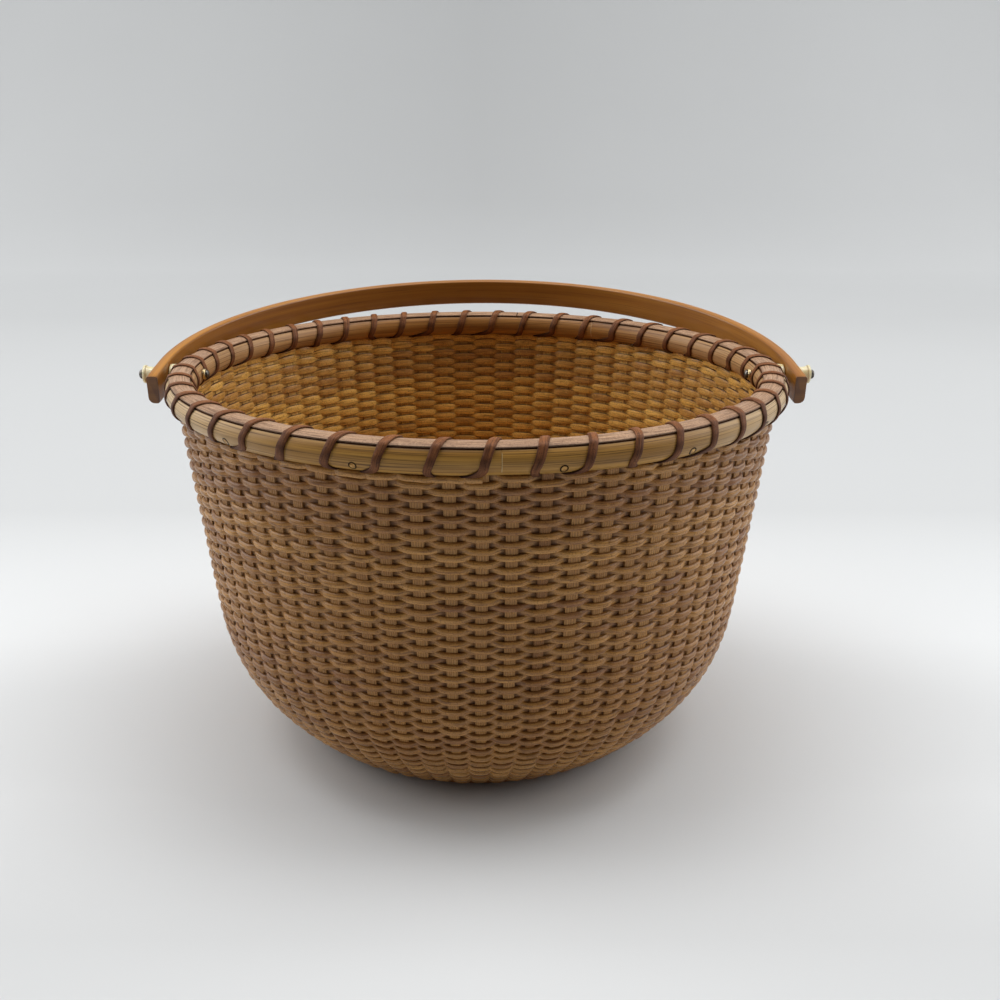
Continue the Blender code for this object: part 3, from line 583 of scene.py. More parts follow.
def make_weaver(material):
    """One half-round cane strand in a single spiral, over and under every stave."""
    rows = round((WALL_LENGTH - WEAVER_HEIGHT) / ROW_PITCH)
    pitch = (WALL_LENGTH - WEAVER_HEIGHT) / rows
    crossings = (rows + 2) * STAVE_COUNT
    jitter = rng.normal(0, 1, (4, crossings + 3))
    tones, mauves = strand_tones(crossings + 3)
    place = np.arange(crossings * STEPS_PER_STAVE + 1)[:, None] / STEPS_PER_STAVE
    swing = np.tanh(WEAVER_TIGHTNESS * np.cos(math.pi * place)) / math.tanh(WEAVER_TIGHTNESS)
    lift = np.abs(swing)
    whole = np.floor(place)
    along = WEAVER_HEIGHT / 2 + pitch * np.clip(place / STAVE_COUNT - 1, 0, rows)
    before = stave_wander(whole, along)
    after = stave_wander(whole + 1, along)
    blend = smooth(place - whole)
    azimuth = STAVE_AZIMUTH + STAVE_PITCH * place + before * (1 - blend) + after * blend
    along = along + row_wander(azimuth, along) + at_crossings(jitter[0], place) * ROW_JITTER
    along -= lash_dip(azimuth) * clamp(1 - (WALL_LENGTH - along) / (7 * MM))
    along -= WEAVER_DROP * swing * clamp(along / (4 * MM))
    full = np.where(swing > 0, WEAVER_HEIGHT, WEAVER_HEIGHT_INSIDE)
    height = WEAVER_HEIGHT_AT_CROSSING + (full - WEAVER_HEIGHT_AT_CROSSING) * lift
    height *= 1 + HEIGHT_JITTER * at_crossings(jitter[1], place)
    out = swing * (WEAVER_SWING + at_crossings(jitter[2], place) * SWING_JITTER)
    thick = WEAVER_THICKNESS * (1 + 0.12 * lift)
    share_up, share_out = WEAVER_SECTION.T[:, None, :]
    radius, z, normal_r, normal_z = on_wall(along)
    up = share_up * height / 2
    packed = (share_out + clamp(-swing) * SWELL_INSIDE
              + clamp(swing) * SWELL_OUTSIDE)
    depth = out + packed * thick - WEAVER_TILT * share_up
    points = polar(radius + normal_r * depth - normal_z * up, azimuth,
                   z + normal_z * depth + normal_r * up)
    strand = run_length(points[:, 4])
    across = np.array([-1.6, -1.3, -0.9, -0.45, 0, 0.45, 0.9, 1.3, 1.6, 1.9, 3.1, 4.3, 4.6]) * MM
    tone = clamp(at_crossings(tones + 0.10 * jitter[3], place))
    mauve = at_crossings(mauves, place)
    edge = np.abs(share_up)
    # Painted shade: sunk darkens the strand where it turns away behind a stave, and deep darkens
    # its corners between rows; the inner side is painted lighter
    amber = (share_out < -0.5) * 1.0
    corner = (edge == 1) * (0.5 + 0.5 * (share_out < -0.4))
    deep = 0.6 * corner * clamp(0.5 + swing)
    sunk = (2 * amber - 1) * swing
    bounds = np.linspace(0, len(place) - 1, WEAVER_LENGTHS + 1).astype(int)
    for number, (start, stop) in enumerate(zip(bounds, bounds[1:]), 1):
        part = slice(start, stop + 1)
        piece = grid_mesh(f"weaver_{number}", points[part], strand[part], across, material,
                          tone=tone[part], mauve=mauve[part], sunk=sunk[part],
                          edge=edge, amber=amber, deep=deep[part])
        settle(piece, "basket", "woven_body")


def lash_dip(azimuth):
    """How far the top rows give way where the lashing passes under the hoops."""
    spots = np.array([nearest_stave_gap(strand_azimuth(turn) - LASH_CROSSING_LAG)
                      for turn in range(LASH_TURNS)])
    grid = np.linspace(0, TURN, 7200, endpoint=False)
    away = np.abs((grid[:, None] - spots[None, :] + math.pi) % TURN - math.pi).min(1)
    dip = LASH_DIP * np.exp(-(away * RIM_MID_R / (2.6 * MM)) ** 2)
    return np.interp(np.mod(azimuth, TURN), grid, dip, period=TURN)


def strand_tones(count):
    """Tone and mauve share at each crossing, changing where a new length is spliced in."""
    tones = np.zeros(count)
    mauves = np.zeros(count)
    here = 0
    while here < count:
        length = int(rng.integers(130, 420))
        tone = rng.normal(0.62, 0.14)
        mauve = rng.choice([0.0, 0.08, 0.2, 0.45], p=[0.5, 0.3, 0.14, 0.06])
        tones[here:here + length] = tone
        mauves[here:here + length] = mauve
        here += length
    for _ in range(260):
        start = int(rng.integers(0, count - 8))
        length = int(rng.integers(2, 7))
        mauves[start:start + length] += rng.uniform(0.2, 0.6)
        tones[start:start + length] -= rng.uniform(0.0, 0.25)
    return tones, np.clip(mauves, 0, 0.8)


def make_staves(material):
    """Flat staves from the base's groove, up through the weave, to between the hoops."""
    start_r, start_z = STAVE_START
    foot_r, foot_z = on_wall(0.0)[:2]
    share = np.linspace(0, 1, 8)[:-1]
    inward_r = start_r + (foot_r - start_r) * share
    inward_z = start_z + (foot_z - start_z) * share ** 3
    lengths = np.linspace(0, WALL_LENGTH, 70)
    wall_r, wall_z = on_wall(lengths)[:2]
    top_z = np.linspace(WEAVE_LIMIT_Z, STAVE_TOP_Z, 5)[1:]
    radius = np.concatenate([inward_r, wall_r, np.full(4, (STAVE_OUTER_R + STAVE_INNER_R) / 2)])
    z = np.concatenate([inward_z, wall_z, top_z])
    slope_r = np.gradient(radius)
    slope_z = np.gradient(z)
    length = np.hypot(slope_r, slope_z)
    place = np.concatenate([np.zeros(7), lengths, np.full(4, WALL_LENGTH)])
    run = run_length(np.stack([radius, z], -1))
    section = np.array([(-1, -0.42), (-0.9, 0.36), (-0.5, 0.48), (0, 0.5), (0.5, 0.48),
                        (0.9, 0.36), (1, -0.42), (0.9, -0.5), (-0.9, -0.5)])
    share_across, share_out = section.T[:, None, :]
    width = STAVE_WIDTH / 2 * np.minimum(1.0, radius / STAVE_OUTER_R)
    width = np.where(radius < foot_r, STAVE_WIDTH * 0.31, np.maximum(width, STAVE_WIDTH * 0.31))
    fade = clamp(run / (12 * MM)) * np.clip((run[-1] - run) / (16 * MM), 0.15, 1)
    outwards = share_out * STAVE_THICKNESS
    outer_r = radius[:, None] + (slope_z / length)[:, None] * outwards
    outer_z = z[:, None] - (slope_r / length)[:, None] * outwards
    flat_side = np.array([-2.6, -2.1, -1.2, 0, 1.2, 2.1, 2.6, 3.0, 7.2, 7.6]) * MM
    # The inner side is tinted and painted lighter; deep paints shade along the stave's side edges
    amber = (share_out < -0.45) * 1.0
    deep = 0.6 * ((share_out > -0.45) & (share_out < -0.4))
    pieces = []
    for index in range(STAVE_COUNT):
        middle = STAVE_AZIMUTH + STAVE_PITCH * index + stave_wander(index, place) * fade
        own_width = width * (1 + 0.05 * rng.normal())
        sideways = share_across * own_width[:, None]
        points = polar(outer_r, middle[:, None] + sideways / radius[:, None], outer_z)
        across = flat_side + index * 11.3 * MM
        tone = clamp(rng.normal(0.55, 0.16) + 0.12 * np.sin(run / (6 * MM) + index))
        pieces.append(grid_mesh(f"stave_{index}", points, run + index * 0.17, across, material,
                                tone=tone[:, None], amber=amber, deep=deep, sharp=60.0))
    settle(joined("staves", pieces), "basket", "woven_body")


# ---- Rim ----

# Angles on a hoop's section between which its painted shadow line under the cap begins
UNDER_CAP_ANGLES = np.radians([49.5, 51.0])


def shadow_material():
    """Painted shadow: the dark, mottled line where the cap lies on the hoops."""
    s = Shader("hoop_painted_shadow_under_cap", roughness=0.95, specular=0.05)
    mottle = s.noise(s.grain(60.0, 900.0))
    body = s.mix(s.ramp(mottle, 0.4, 0.7), rgb(54, 28, 12), rgb(84, 50, 24))
    return s.finish(body, 0.95, mottle, 0.0001, 0.3)


def make_hoop(side, flat_radius, outward, seam_azimuth, material, shadow):
    """Half-round hoop bent round to a long scarf joint, slightly uneven as split wood is."""
    around = TURN * flat_radius
    gap = 0.08 * MM / flat_radius
    near = np.array([0, 0.12, 0.3, 0.6]) * MM / around
    share = np.concatenate([near, np.linspace(0, 1, 400)[1:-1], 1 - near[::-1]])[:, None]
    even = np.linspace(-math.pi / 2, math.pi / 2, 17)
    angle = np.sort(np.concatenate([even, UNDER_CAP_ANGLES]))
    rise = np.sin(angle)
    depth = np.cos(angle)
    bend = clamp((np.abs(rise) - 0.80) / 0.20)
    azimuth = seam_azimuth - SCARF_LENGTH / flat_radius * bend ** 2 + share * (TURN - gap)
    waver = 0.10 * np.sin(5 * azimuth + 1.0) + 0.06 * np.sin(13 * azimuth)
    waver += 0.05 * np.sin(29 * azimuth)
    thick = HOOP_THICKNESS * depth ** 0.92 + MM * 0.5 * waver * depth * (waver < 0)
    z = HOOP_MID_Z + HOOP_HEIGHT / 2 * rise + MM * waver * (rise < -0.3) * 1.2
    points = polar(flat_radius + outward * thick, azimuth, z)
    across = np.append((angle / math.pi + 0.5) * 15.4 * MM, 25.6 * MM)
    ends = clamp(1 - share * around / (0.3 * MM))
    pale = np.clip(ends * (np.abs(rise) < 0.7), 0, 0.45)
    # Painted sheen: the hoops are paler towards the sides that face the side lamps, the inner
    # hoop less so
    cream = clamp((np.abs(np.sin(azimuth)) - 0.45) / 0.45) ** 1.5
    cream *= 1.0 if outward > 0 else 0.35
    # Painted shade: deep darkens the band under the cap and the hoop's underside
    hidden = angle > UNDER_CAP_ANGLES.mean()
    deep = 0.45 * clamp((-rise - 0.80) / 0.2) + hidden
    piece = grid_mesh(f"{side}_hoop_split", points, share[:, 0] * around, across, material,
                      deep=deep, pale=pale, cream=cream, sharp=55.0)
    # Painted shadow: the faces under the cap get the dark shadow material
    under_cap = np.zeros(len(piece.data.polygons), np.int32)
    columns = np.flatnonzero(hidden[:-1])
    rows = np.arange(len(share) - 1)[:, None] * len(hidden)
    under_cap[(rows + columns).ravel()] = 1
    piece.data.materials.append(shadow)
    piece.data.polygons.foreach_set("material_index", under_cap)
    settle(piece, "basket", f"{side}_hoop")


def make_cap(material):
    """Cane strip bent over the tops of the hoops."""
    count, arc = 400, 9
    share = np.linspace(0, 1, count)[:, None]
    across = np.linspace(-1, 1, arc)
    azimuth = CAP_AZIMUTH + share * (TURN - 0.5 * MM / RIM_MID_R)
    waver = MM * (0.10 * np.sin(9 * azimuth) + 0.07 * np.sin(21 * azimuth + 0.7))
    radius = RIM_MID_R + across * CAP_WIDTH / 2 + waver
    top = CAP_TOP_Z - CAP_ARCH * across ** 2 - 0.05 * MM
    upper = polar(radius, azimuth, top)
    lower = polar(radius, azimuth, top - CAP_THICKNESS)[:, ::-1]
    points = np.concatenate([upper, lower], 1)
    run = np.linspace(0, TURN * RIM_MID_R, count)
    # Painted shade: the cap darkens at its edges and on its underside, for the dark line along
    # its edge
    deep = np.concatenate([0.25 * np.abs(across) ** 8, 0.2 + 0.8 * np.abs(across)])
    tone = 0.50 + 0.14 * np.sin(run * 60)[:, None]
    v = np.concatenate([np.linspace(0, 8, arc), np.linspace(9, 17, arc), [18]]) * MM
    piece = grid_mesh("rim_cap_strip", points, run, v, material,
                      deep=deep, tone=tone, mauve=0.4, sharp=45.0)
    settle(piece, "basket", "rim_cap")


def strand_azimuth(turn):
    """Azimuth at which a turn of the lashing passes the outside of the rim."""
    even = LASH_FRONT_AZIMUTH + LASH_PITCH * turn
    return even + LASH_PIVOT_SHIFT * math.sin(even) ** 2


def nearest_stave_gap(azimuth):
    """Azimuth of the gap between two staves that is nearest."""
    first = STAVE_AZIMUTH + STAVE_PITCH / 2
    return first + STAVE_PITCH * round((azimuth - first) / STAVE_PITCH)


def rim_hull(stand_off):
    """Tight outline round hoops and cap: offset, rise and outward normal by angle."""
    angle = np.linspace(-math.pi / 2, math.pi / 2, 60)
    out = HOOP_THICKNESS * np.cos(angle)
    rise = HOOP_MID_Z + HOOP_HEIGHT / 2 * np.sin(angle)
    half = OUTER_HOOP_FLAT_R - RIM_MID_R
    across = np.linspace(-1, 1, 20)
    hull = np.concatenate([
        np.stack([half + out, rise], -1), np.stack([-half - out, rise], -1),
        np.stack([across * CAP_WIDTH / 2, CAP_TOP_Z - CAP_ARCH * across ** 2], -1)])
    theta = np.linspace(-math.pi, math.pi, 1440, endpoint=False)
    normal = np.stack([np.cos(theta), np.sin(theta)], -1)
    touch = hull[np.argmax(hull @ normal.T, 0)]
    edge = touch + normal * stand_off - np.array([0, RIM_MID_Z])
    edge = np.concatenate([edge, edge[:1]])
    fine = [edge[:1]]
    for here, after in zip(edge, edge[1:]):
        pieces = max(1, int(np.linalg.norm(after - here) / (0.1 * MM)))
        fine.append(here + (after - here) * np.linspace(0, 1, pieces + 1)[1:, None])
    fine = np.concatenate(fine)[:-1]
    # Round the outline off a little, as a strip does that can't follow a sharp hollow
    for _ in range(6):
        fine = (np.roll(fine, 1, 0) + 2 * fine + np.roll(fine, -1, 0)) / 4
    around = np.arctan2(fine[:, 1], fine[:, 0])
    order = np.argsort(around)
    fine, around = fine[order], around[order]
    wanted = np.linspace(-math.pi, math.pi, LASH_STEPS * 4, endpoint=False)
    ring = np.stack([np.interp(wanted, around, column, period=TURN) for column in fine.T], -1)
    tangent = np.roll(ring, -1, 0) - np.roll(ring, 1, 0)
    return wanted, ring, unit(np.stack([tangent[:, 1], -tangent[:, 0]], -1))


def lash_azimuths(angle_step):
    """Azimuth of the strip along its whole route, through the CAD route's own stations.

    Each turn has ten stations, two under the hoops and eight up and over the rim.
    """
    stations = []
    for turn in range(LASH_TURNS):
        middle = strand_azimuth(turn)
        crossing = nearest_stave_gap(middle - LASH_CROSSING_LAG)
        stretch = (strand_azimuth(turn + 1) - middle) / LASH_PITCH
        stations += [crossing - LASH_CROSSING_SLANT, crossing + LASH_CROSSING_SLANT]
        stations += [middle + LASH_SLANT * step * stretch for step in range(-1, 7)]
    stations = np.array(stations)
    place = np.arange(0, len(stations) - 1 + 1e-6, angle_step)
    index = np.clip(np.floor(place).astype(int), 0, len(stations) - 2)
    t = place - index
    p0 = stations[np.maximum(index - 1, 0)]
    p1 = stations[index]
    p2 = stations[index + 1]
    p3 = stations[np.minimum(index + 2, len(stations) - 1)]
    azimuth = 0.5 * (2 * p1 + (p2 - p0) * t + (2 * p0 - 5 * p1 + 4 * p2 - p3) * t ** 2
                     + (3 * p1 - p0 - 3 * p2 + p3) * t ** 3)
    return place, azimuth


def make_lashing(material):
    """The one strip that binds hoops, stave tops and cap, laid tight on them."""
    place, azimuth = lash_azimuths(10 / LASH_STEPS)
    angle = (place - 3) * TURN / 10
    wanted, ring, face = rim_hull(LASH_SEAT_GAP + LASH_THICKNESS / 2)
    folded = np.mod(angle + math.pi, TURN) - math.pi
    out, up, face_out, face_up = (
        np.interp(folded, wanted, column, period=TURN) for column in (*ring.T, *face.T))
    centre = polar(RIM_MID_R + out, azimuth, RIM_MID_Z + up)
    normal = unit(polar(face_out, azimuth, face_up))
    along = unit(np.gradient(centre, axis=0))
    across = unit(np.cross(along, normal))
    normal = np.cross(across, along)
    turn_number = place / 10
    swell = 1 + 0.06 * np.sin(turn_number * 5.1) + 0.04 * np.sin(turn_number * 13.7 + 1)
    section = np.array([(-1, -0.5), (-1, 0.0), (-0.8, 0.36), (-0.35, 0.5), (0.35, 0.5),
                        (0.8, 0.36), (1, 0.0), (1, -0.5)])
    sideways = section[:, :1] * (swell * LASH_WIDTH / 2)[:, None, None]
    points = (centre[:, None] + across[:, None] * sideways
              + normal[:, None] * section[:, 1:] * LASH_THICKNESS)
    v = np.array([-1.9, -1.6, -1.2, -0.5, 0.5, 1.2, 1.6, 1.9, 5.0]) * MM
    # Painted shade: the strip darkens where it faces down, across the middle of its outer face,
    # and along its edges
    underneath = clamp((-face_up - 0.45) / 0.5)
    edge = np.abs(section[:, 0]) ** 6 * 0.35
    middle = 0.62 * np.exp(-((face_up - 0.12) / 0.34) ** 2)
    middle *= 0.8 + 0.2 * np.sin(turn_number * 7.9)
    deep = clamp((0.75 * underneath + middle)[:, None] + edge)
    # Painted light: the strip is lighter where it faces up and darker where it faces out; the
    # sine adds tone that differs along it
    tone = 0.42 + 0.42 * clamp(face_up - face_out * 0.6)
    tone += 0.10 * np.sin(turn_number * 2.3)
    piece = grid_mesh("rim_lashing_strip", points, run_length(centre), v, material,
                      tone=tone[:, None], mauve=0.15, deep=deep)
    settle(piece, "basket", "rim_lashing")


# ---- Base ----

def make_base(material, plug_material):
    """Turned disc with a ring cut in each face and a groove in its edge, and its plug."""
    ring, half, depth = BASE_RING_R, BASE_RING_HALF_WIDTH, BASE_RING_DEPTH
    profile = [(PLUG_RADIUS + SEAT_GAP, 0), (ring - half, 0), (ring - half / 2, depth * 0.8),
               (ring, depth), (ring + half / 2, depth * 0.8), (ring + half, 0),
               (BASE_RADIUS - 1.0 * MM, 0), (BASE_RADIUS - 0.3 * MM, 0.3 * MM),
               (BASE_RADIUS, 1.0 * MM), (BASE_RADIUS, GROOVE_Z), (GROOVE_R, GROOVE_Z),
               (GROOVE_R, GROOVE_TOP_Z), (BASE_UPPER_RADIUS, GROOVE_TOP_Z)]
    for angle in np.linspace(0, math.pi / 2, 6):
        profile.append((BASE_UPPER_RADIUS - BASE_ROUNDING * (1 - math.cos(angle)),
                        BASE_THICKNESS - BASE_ROUNDING * (1 - math.sin(angle))))
    profile += [(ring + half, BASE_THICKNESS), (ring, BASE_THICKNESS - depth),
                (ring - half, BASE_THICKNESS), (PLUG_RADIUS + SEAT_GAP, BASE_THICKNESS)]
    flat_grain(turned("base_disc", "", profile, material, 128, sharp=30.0))
    profile = [(AXIS_RADIUS, 0), (PLUG_RADIUS - PLUG_CHAMFER, 0), (PLUG_RADIUS, PLUG_CHAMFER),
               (PLUG_RADIUS, BASE_THICKNESS - PLUG_CHAMFER),
               (PLUG_RADIUS - PLUG_CHAMFER, BASE_THICKNESS), (AXIS_RADIUS, BASE_THICKNESS)]
    flat_grain(turned("base_plug", "", profile, plug_material, 48, sharp=30.0))


def flat_grain(piece):
    """Lay the grain straight across a turned piece, along X, instead of round it."""
    mesh = piece.data
    corners = np.zeros(len(mesh.loops), np.int32)
    mesh.loops.foreach_get("vertex_index", corners)
    co = np.zeros(len(mesh.vertices) * 3, np.float32)
    mesh.vertices.foreach_get("co", co)
    spot = co.reshape(-1, 3)[corners]
    uv = np.stack([spot[:, 0] + 0.31, spot[:, 1] + 0.4 * spot[:, 2]], -1)
    mesh.uv_layers["Grain"].data.foreach_set("uv", uv.ravel())


# ---- Handle and pivots ----

def make_handle(material):
    """Bent wooden band with eased edges, folded down over the back."""
    middle_x = HANDLE_INNER_X + HANDLE_THICKNESS / 2
    ends = HANDLE_TAIL_STEPS
    tail = np.linspace(-HANDLE_TAIL, 0, ends)
    angle = np.linspace(0, math.pi, 181)[1:-1]
    bow = middle_x * np.cos(angle) + HANDLE_LEAN * np.sin(angle) ** 2
    x = np.concatenate([np.full(ends, middle_x), bow, np.full(ends, -middle_x)])
    y = np.concatenate([tail, HANDLE_REACH * np.sin(angle), tail[::-1]])
    nx = np.concatenate([np.ones(ends), np.cos(angle) / middle_x, -np.ones(ends)])
    ny = np.concatenate([np.zeros(ends), np.sin(angle) / HANDLE_REACH, np.zeros(ends)])
    scale = np.hypot(nx, ny)
    nx, ny = nx / scale, ny / scale
    end = clamp(1 - (y + HANDLE_TAIL) / (7.5 * MM))
    end[ends:-ends] = 0
    t, w, ease = HANDLE_THICKNESS / 2, HANDLE_WIDTH / 2, HANDLE_EASE
    rings = []
    for cut in ease + end * 1.5 * MM:
        ring = []
        for centre_t, centre_w, radius, start in (
                (-t + ease, -w + ease, ease, 180), (t - cut, -w + cut, cut, 270),
                (t - ease, w - ease, ease, 0), (-t + ease, w - ease, ease, 90)):
            for step in range(5):
                a = math.radians(start + 22.5 * step)
                ring.append((centre_t + radius * math.cos(a), centre_w + radius * math.sin(a)))
        rings.append(ring)
    rings = np.array(rings)
    shrink = 1 - 0.05 * end ** 3
    out = rings[:, :, 0]
    across = rings[:, :, 1] * shrink[:, None]
    px, py = (spot[:, None] + outwards[:, None] * out for spot, outwards in ((x, nx), (y, ny)))
    c, s = math.cos(HANDLE_FOLD_ANGLE), math.sin(HANDLE_FOLD_ANGLE)
    points = np.stack([px, py * c - across * s, PIVOT_Z + py * s + across * c], -1)
    run = run_length(np.stack([x, y], -1))
    section = rings[len(rings) // 2]
    v = run_length(np.concatenate([section, section[:1]]))
    # Painted shade on the inner face; the darker ends are the end grain's own colour
    deep = clamp(0.30 * (out < -t + 0.4 * MM) + 0.55 * (end[:, None] > 0.93))
    handle = grid_mesh("handle_band", points, run, v, material, deep=deep, sharp=40.0)
    settle(handle, "handle", "handle")


def outline(*spots):
    """Outline of a turned piece from its radii in mm, each with a place along the axis."""
    return [(radius * MM, height) for radius, height in spots]


def make_pivots(bone, rivet_metal, pale_brass):
    """On each side a bone spacer and knob, a rivet through them and a burr inside the rim."""
    bore, shank, axis = BORE_RADIUS / MM, RIVET_RADIUS / MM, AXIS_RADIUS / MM
    spacer_out = HANDLE_INNER_X - SEAT_GAP
    spacer_in = spacer_out - SPACER_LENGTH
    knob_in = HANDLE_INNER_X + HANDLE_THICKNESS + SEAT_GAP
    head = knob_in + KNOB_LENGTH + SEAT_GAP
    burr_out = INNER_HOOP_FACE_R - SEAT_GAP
    burr_in = burr_out - BURR_THICKNESS
    peen = burr_in - SEAT_GAP
    spacer = outline((bore, spacer_in), (4.0, spacer_in), (4.2, spacer_in + 0.2 * MM),
                     (4.2, spacer_out - 0.5 * MM), (4.05, spacer_out - 0.15 * MM),
                     (3.7, spacer_out), (bore, spacer_out))
    knob = outline(*[(radius, knob_in + KNOB_LENGTH * share) for share, radius in (
        (0, bore), (0, 3.15), (0.03, 3.4), (0.16, 3.38), (0.30, 3.15), (0.45, 3.0), (0.60, 3.1),
        (0.72, 3.35), (0.79, 3.45), (0.80, 3.62), (0.84, 3.8), (0.93, 3.8), (0.98, 3.6),
        (1, 3.3), (1, bore))])
    knob_groove = np.zeros((1, len(knob)))
    knob_groove[:, 8:10] = 0.5
    rivet = outline((axis, peen - 1.1 * MM), (0.9, peen - 0.95 * MM), (1.5, peen - 0.7 * MM),
                    (1.8, peen - 0.3 * MM), (1.75, peen), (shank, peen), (shank, head),
                    (1.9, head), (2.0, head + 0.3 * MM), (1.85, head + 0.9 * MM),
                    (1.4, head + 1.4 * MM), (0.7, head + 1.65 * MM), (axis, head + 1.7 * MM))
    burr = outline((bore, burr_in), (2.0, burr_in), (2.2, burr_in + 0.2 * MM),
                   (2.2, burr_out - 0.1 * MM), (2.1, burr_out), (bore, burr_out))
    for side, word in ((-1, "left"), (1, "right")):
        def place(points, side=side):
            return np.stack([side * points[..., 2], points[..., 0], PIVOT_Z + points[..., 1]], -1)

        turned("bone_spacer", word, spacer, bone, 40, place)
        turned("bone_knob", word, knob, bone, 48, place, knob_groove)
        turned("pivot_rivet", word, rivet, rivet_metal, 32, place, sharp=50.0)
        turned("rivet_burr", word, burr, pale_brass, 32, place)


def make_pins(brass):
    """Pin heads let into the outer hoop, each in a dark ring; shanks reach the inner hoop."""
    half_angle = STAVE_WIDTH / STAVE_OUTER_R / 2
    play = STAVE_PITCH / 2 - half_angle - (PIN_RADIUS + 2 * SEAT_GAP) / STAVE_INNER_R
    rise = (PIN_HEIGHT - PIN_HEAD_RADIUS - HOOP_HEIGHT / 2) / (HOOP_HEIGHT / 2)
    head = OUTER_HOOP_FLAT_R + HOOP_THICKNESS * math.sqrt(1 - rise ** 2)
    tip = INNER_HOOP_FACE_R + 2.4 * MM
    axis, shank, rim = AXIS_RADIUS / MM, PIN_RADIUS / MM, PIN_HEAD_RADIUS / MM
    profile = outline((axis, tip), (0.3, tip + 0.2 * MM), (shank, tip + 0.5 * MM),
                      (shank, head - 0.3 * MM), (1.3, head - 0.2 * MM), (1.42, head),
                      (rim, head + 0.1 * MM), (1.12, head + 0.12 * MM),
                      (1, head + 0.04 * MM), (0.6, head + 0.08 * MM), (axis, head + 0.1 * MM))
    dark_ring = np.array([0, 0, 0, 1, 1, 1, 1, 1, 0.5, 0, 0])[:, None]
    number = 0
    for turn in range(1, LASH_TURNS, 3):
        target = (strand_azimuth(turn) + strand_azimuth(turn + 1)) / 2 - LASH_SLANT
        gap = nearest_stave_gap(target)
        azimuth = min(max(target, gap - play), gap + play)
        beside_pivot = RIM_RADIUS * abs(math.cos(azimuth)) <= 4.5 * MM + 2 * PIN_HEAD_RADIUS
        if beside_pivot:
            continue
        number += 1
        outward = np.array([math.sin(azimuth), -math.cos(azimuth), 0.0])
        sideways = np.array([math.cos(azimuth), math.sin(azimuth), 0.0])

        def place(points, outward=outward, sideways=sideways):
            z = HOOP_UNDERSIDE_Z + PIN_HEIGHT + points[..., 1]
            lean = np.clip((z - HOOP_MID_Z) / (HOOP_HEIGHT / 2), -1, 1)
            face = OUTER_HOOP_FLAT_R + HOOP_THICKNESS * (1 - lean ** 2) ** 0.46
            out = np.where(points[..., 2] >= head, face + points[..., 2] - head, points[..., 2])
            spot = out[..., None] * outward + points[..., :1] * sideways
            spot[..., 2] += z
            return spot

        turned("rim_pin", f"{number:02d}", profile, brass, 24, place, dark_ring, 50.0)


# ---- Stage, lights and camera ----

def make_stage():
    """Pale paper sweep with painted shade: a little greyer in front of the object and away from
    it behind, most in the middle of the backdrop.
    """
    s = Shader("backdrop_paper", roughness=0.9, specular=0.1)
    paper = s.noise(s.place(3.0), detail=2.0)
    body = s.mix(paper, rgb(222, 224, 225), rgb(226, 228, 229))
    here = s.node("SeparateXYZ", Vector=s.place(1.0)).outputs
    # Painted shade on the paper: near greys the floor behind the object, far the middle of the
    # backdrop, front the floor in front
    aside = s.ramp(s.math("ABSOLUTE", here[0]), 0.0, 0.9, 0.08, 0.22)
    far = s.math("MULTIPLY", aside, s.ramp(here[1], 1.0, 1.7))
    near = s.math("MULTIPLY", s.ramp(here[1], 0.06, 0.25, 0.26),
                  s.ramp(here[1], 1.0, 1.4, 0.3, 1.0))
    front = s.ramp(here[1], -0.16, -0.08, 0.0, 0.17)
    painted_shade = s.math("ADD", s.math("ADD", near, far), front)
    s.finish(s.mix(painted_shade, body, rgb(60, 58, 56)))
    bend_start, bend, top = 1.3, 0.9, 3.2
    angle = np.linspace(0, math.pi / 2, 24)
    y = np.concatenate([[-3.0, 0.2], bend_start + bend * np.sin(angle), [bend_start + bend]])
    z = np.concatenate([[0, 0], bend * (1 - np.cos(angle)), [top]])
    x = np.linspace(-4, 4, 9)
    points = np.stack(np.broadcast_arrays(x, y[:, None], z[:, None]), -1)
    sweep = grid_mesh("studio_sweep", points, np.arange(len(y)) * 0.1, np.arange(len(x)) * 0.1,
                      s.material, closed_around=False, caps=False)


def area_light(name, place, target, size, power):
    data = bpy.data.lights.new(name, "AREA")
    data.shape = "RECTANGLE"
    data.size, data.size_y = size
    data.energy = power
    made = add_object(name, data)
    made.location = place
    direction = Vector(target) - Vector(place)
    made.rotation_euler = direction.to_track_quat("-Z", "Y").to_euler()


def make_lights():
    """A long lamp overhead, a wide one on each side, and a faint even light from all round."""
    world = bpy.data.worlds.new("studio_air")
    world.use_nodes = True
    nodes, links = world.node_tree.nodes, world.node_tree.links
    background = nodes["Background"]
    background.inputs["Color"].default_value = (1.0, 1.0, 1.0, 1.0)
    # What the camera sees past the paper is pale, and lights nothing
    seen = nodes.new("ShaderNodeLightPath").outputs["Is Camera Ray"]
    level = nodes.new("ShaderNodeMapRange")
    level.inputs["To Min"].default_value = 0.06
    level.inputs["To Max"].default_value = 0.60
    links.new(seen, level.inputs["Value"])
    links.new(level.outputs[0], background.inputs["Strength"])
    bpy.context.scene.world = world
    area_light("overhead", (0.0, 0.15, 1.8), (0, 0.15, 0.0), (2.4, 0.75), 28)
    area_light("left_window", (-2.0, 0.32, 1.35), (0, 0, 0.1), (2.2, 2.2), 38)
    area_light("right_window", (2.0, 0.32, 1.35), (0, 0, 0.1), (2.2, 2.2), 37)


def make_camera():
    data = bpy.data.cameras.new("main_camera")
    data.sensor_width = 36.0
    data.lens = CAMERA_LENS
    data.shift_x = CAMERA_SHIFT_X
    data.clip_start = 0.01
    data.clip_end = 50.0
    made = add_object("main_camera", data)
    made.location = CAMERA_PLACE
    made.rotation_euler = (math.pi / 2 - CAMERA_PITCH, 0, 0)
    bpy.context.scene.camera = made


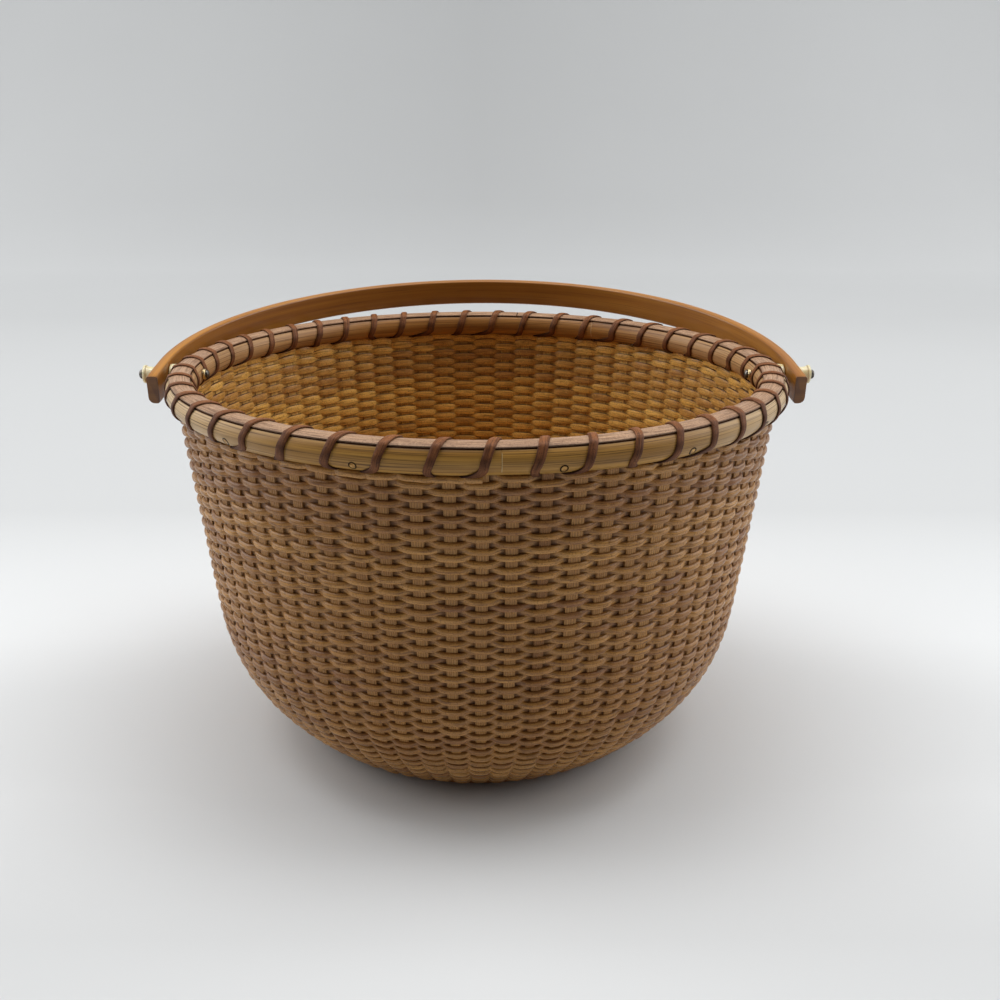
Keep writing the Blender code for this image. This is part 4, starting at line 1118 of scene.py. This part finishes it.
def build():
    make_camera()
    make_lights()
    make_stage()
    weave = cane_material("woven_cane", rgb(208, 154, 84), rgb(151, 99, 43), rgb(96, 56, 18),
                          rgb(145, 96, 57), gloss=0.30, specular=0.42)
    inner = hoop_material("hoop_inner", rgb(172, 122, 62), rgb(138, 90, 38), rgb(88, 52, 18))
    outer = hoop_material("hoop_outer", rgb(178, 132, 60), rgb(138, 96, 36), rgb(82, 52, 16))
    under_cap = shadow_material()
    cap = cane_material("cap_cane", rgb(218, 180, 142), rgb(152, 114, 82), rgb(92, 60, 38),
                        rgb(178, 142, 118), streaks=2200.0, specular=0.35)
    lash = cane_material("lashing_cane", rgb(164, 106, 62), rgb(92, 47, 22), rgb(56, 28, 12),
                         rgb(112, 68, 44), gloss=0.52, streaks=2600.0, recess_shade=(38, 15, 6),
                         specular=0.2)
    handle_wood = wood_material("handle_wood", rgb(190, 128, 40), rgb(148, 89, 18),
                                rgb(98, 54, 9), coat=0.12)
    base_wood = wood_material("base_wood", rgb(178, 118, 62), rgb(140, 84, 38),
                              rgb(96, 52, 22), along=9.0, across=260.0)
    plug_wood = wood_material("plug_wood", rgb(140, 86, 44), rgb(104, 58, 26),
                              rgb(70, 36, 16), along=16.0, across=500.0)
    brass = metal_material("pin_brass", rgb(196, 156, 96), rgb(140, 100, 56), 0.38)
    steel = metal_material("rivet_metal", rgb(120, 116, 110), rgb(70, 66, 62), 0.4)
    pale_brass = metal_material("burr_brass", rgb(232, 214, 172), rgb(190, 166, 118), 0.34)
    make_weaver(weave)
    make_staves(stave_material())
    make_hoop("outer", OUTER_HOOP_FLAT_R, 1, OUTER_SCARF_AZIMUTH, outer, under_cap)
    make_hoop("inner", INNER_HOOP_FLAT_R, -1, INNER_SCARF_AZIMUTH, inner, under_cap)
    make_cap(cap)
    make_lashing(lash)
    make_base(base_wood, plug_wood)
    make_handle(handle_wood)
    make_pivots(bone_material(), steel, pale_brass)
    make_pins(brass)
    bpy.context.scene.view_settings.view_transform = "Standard"


build()
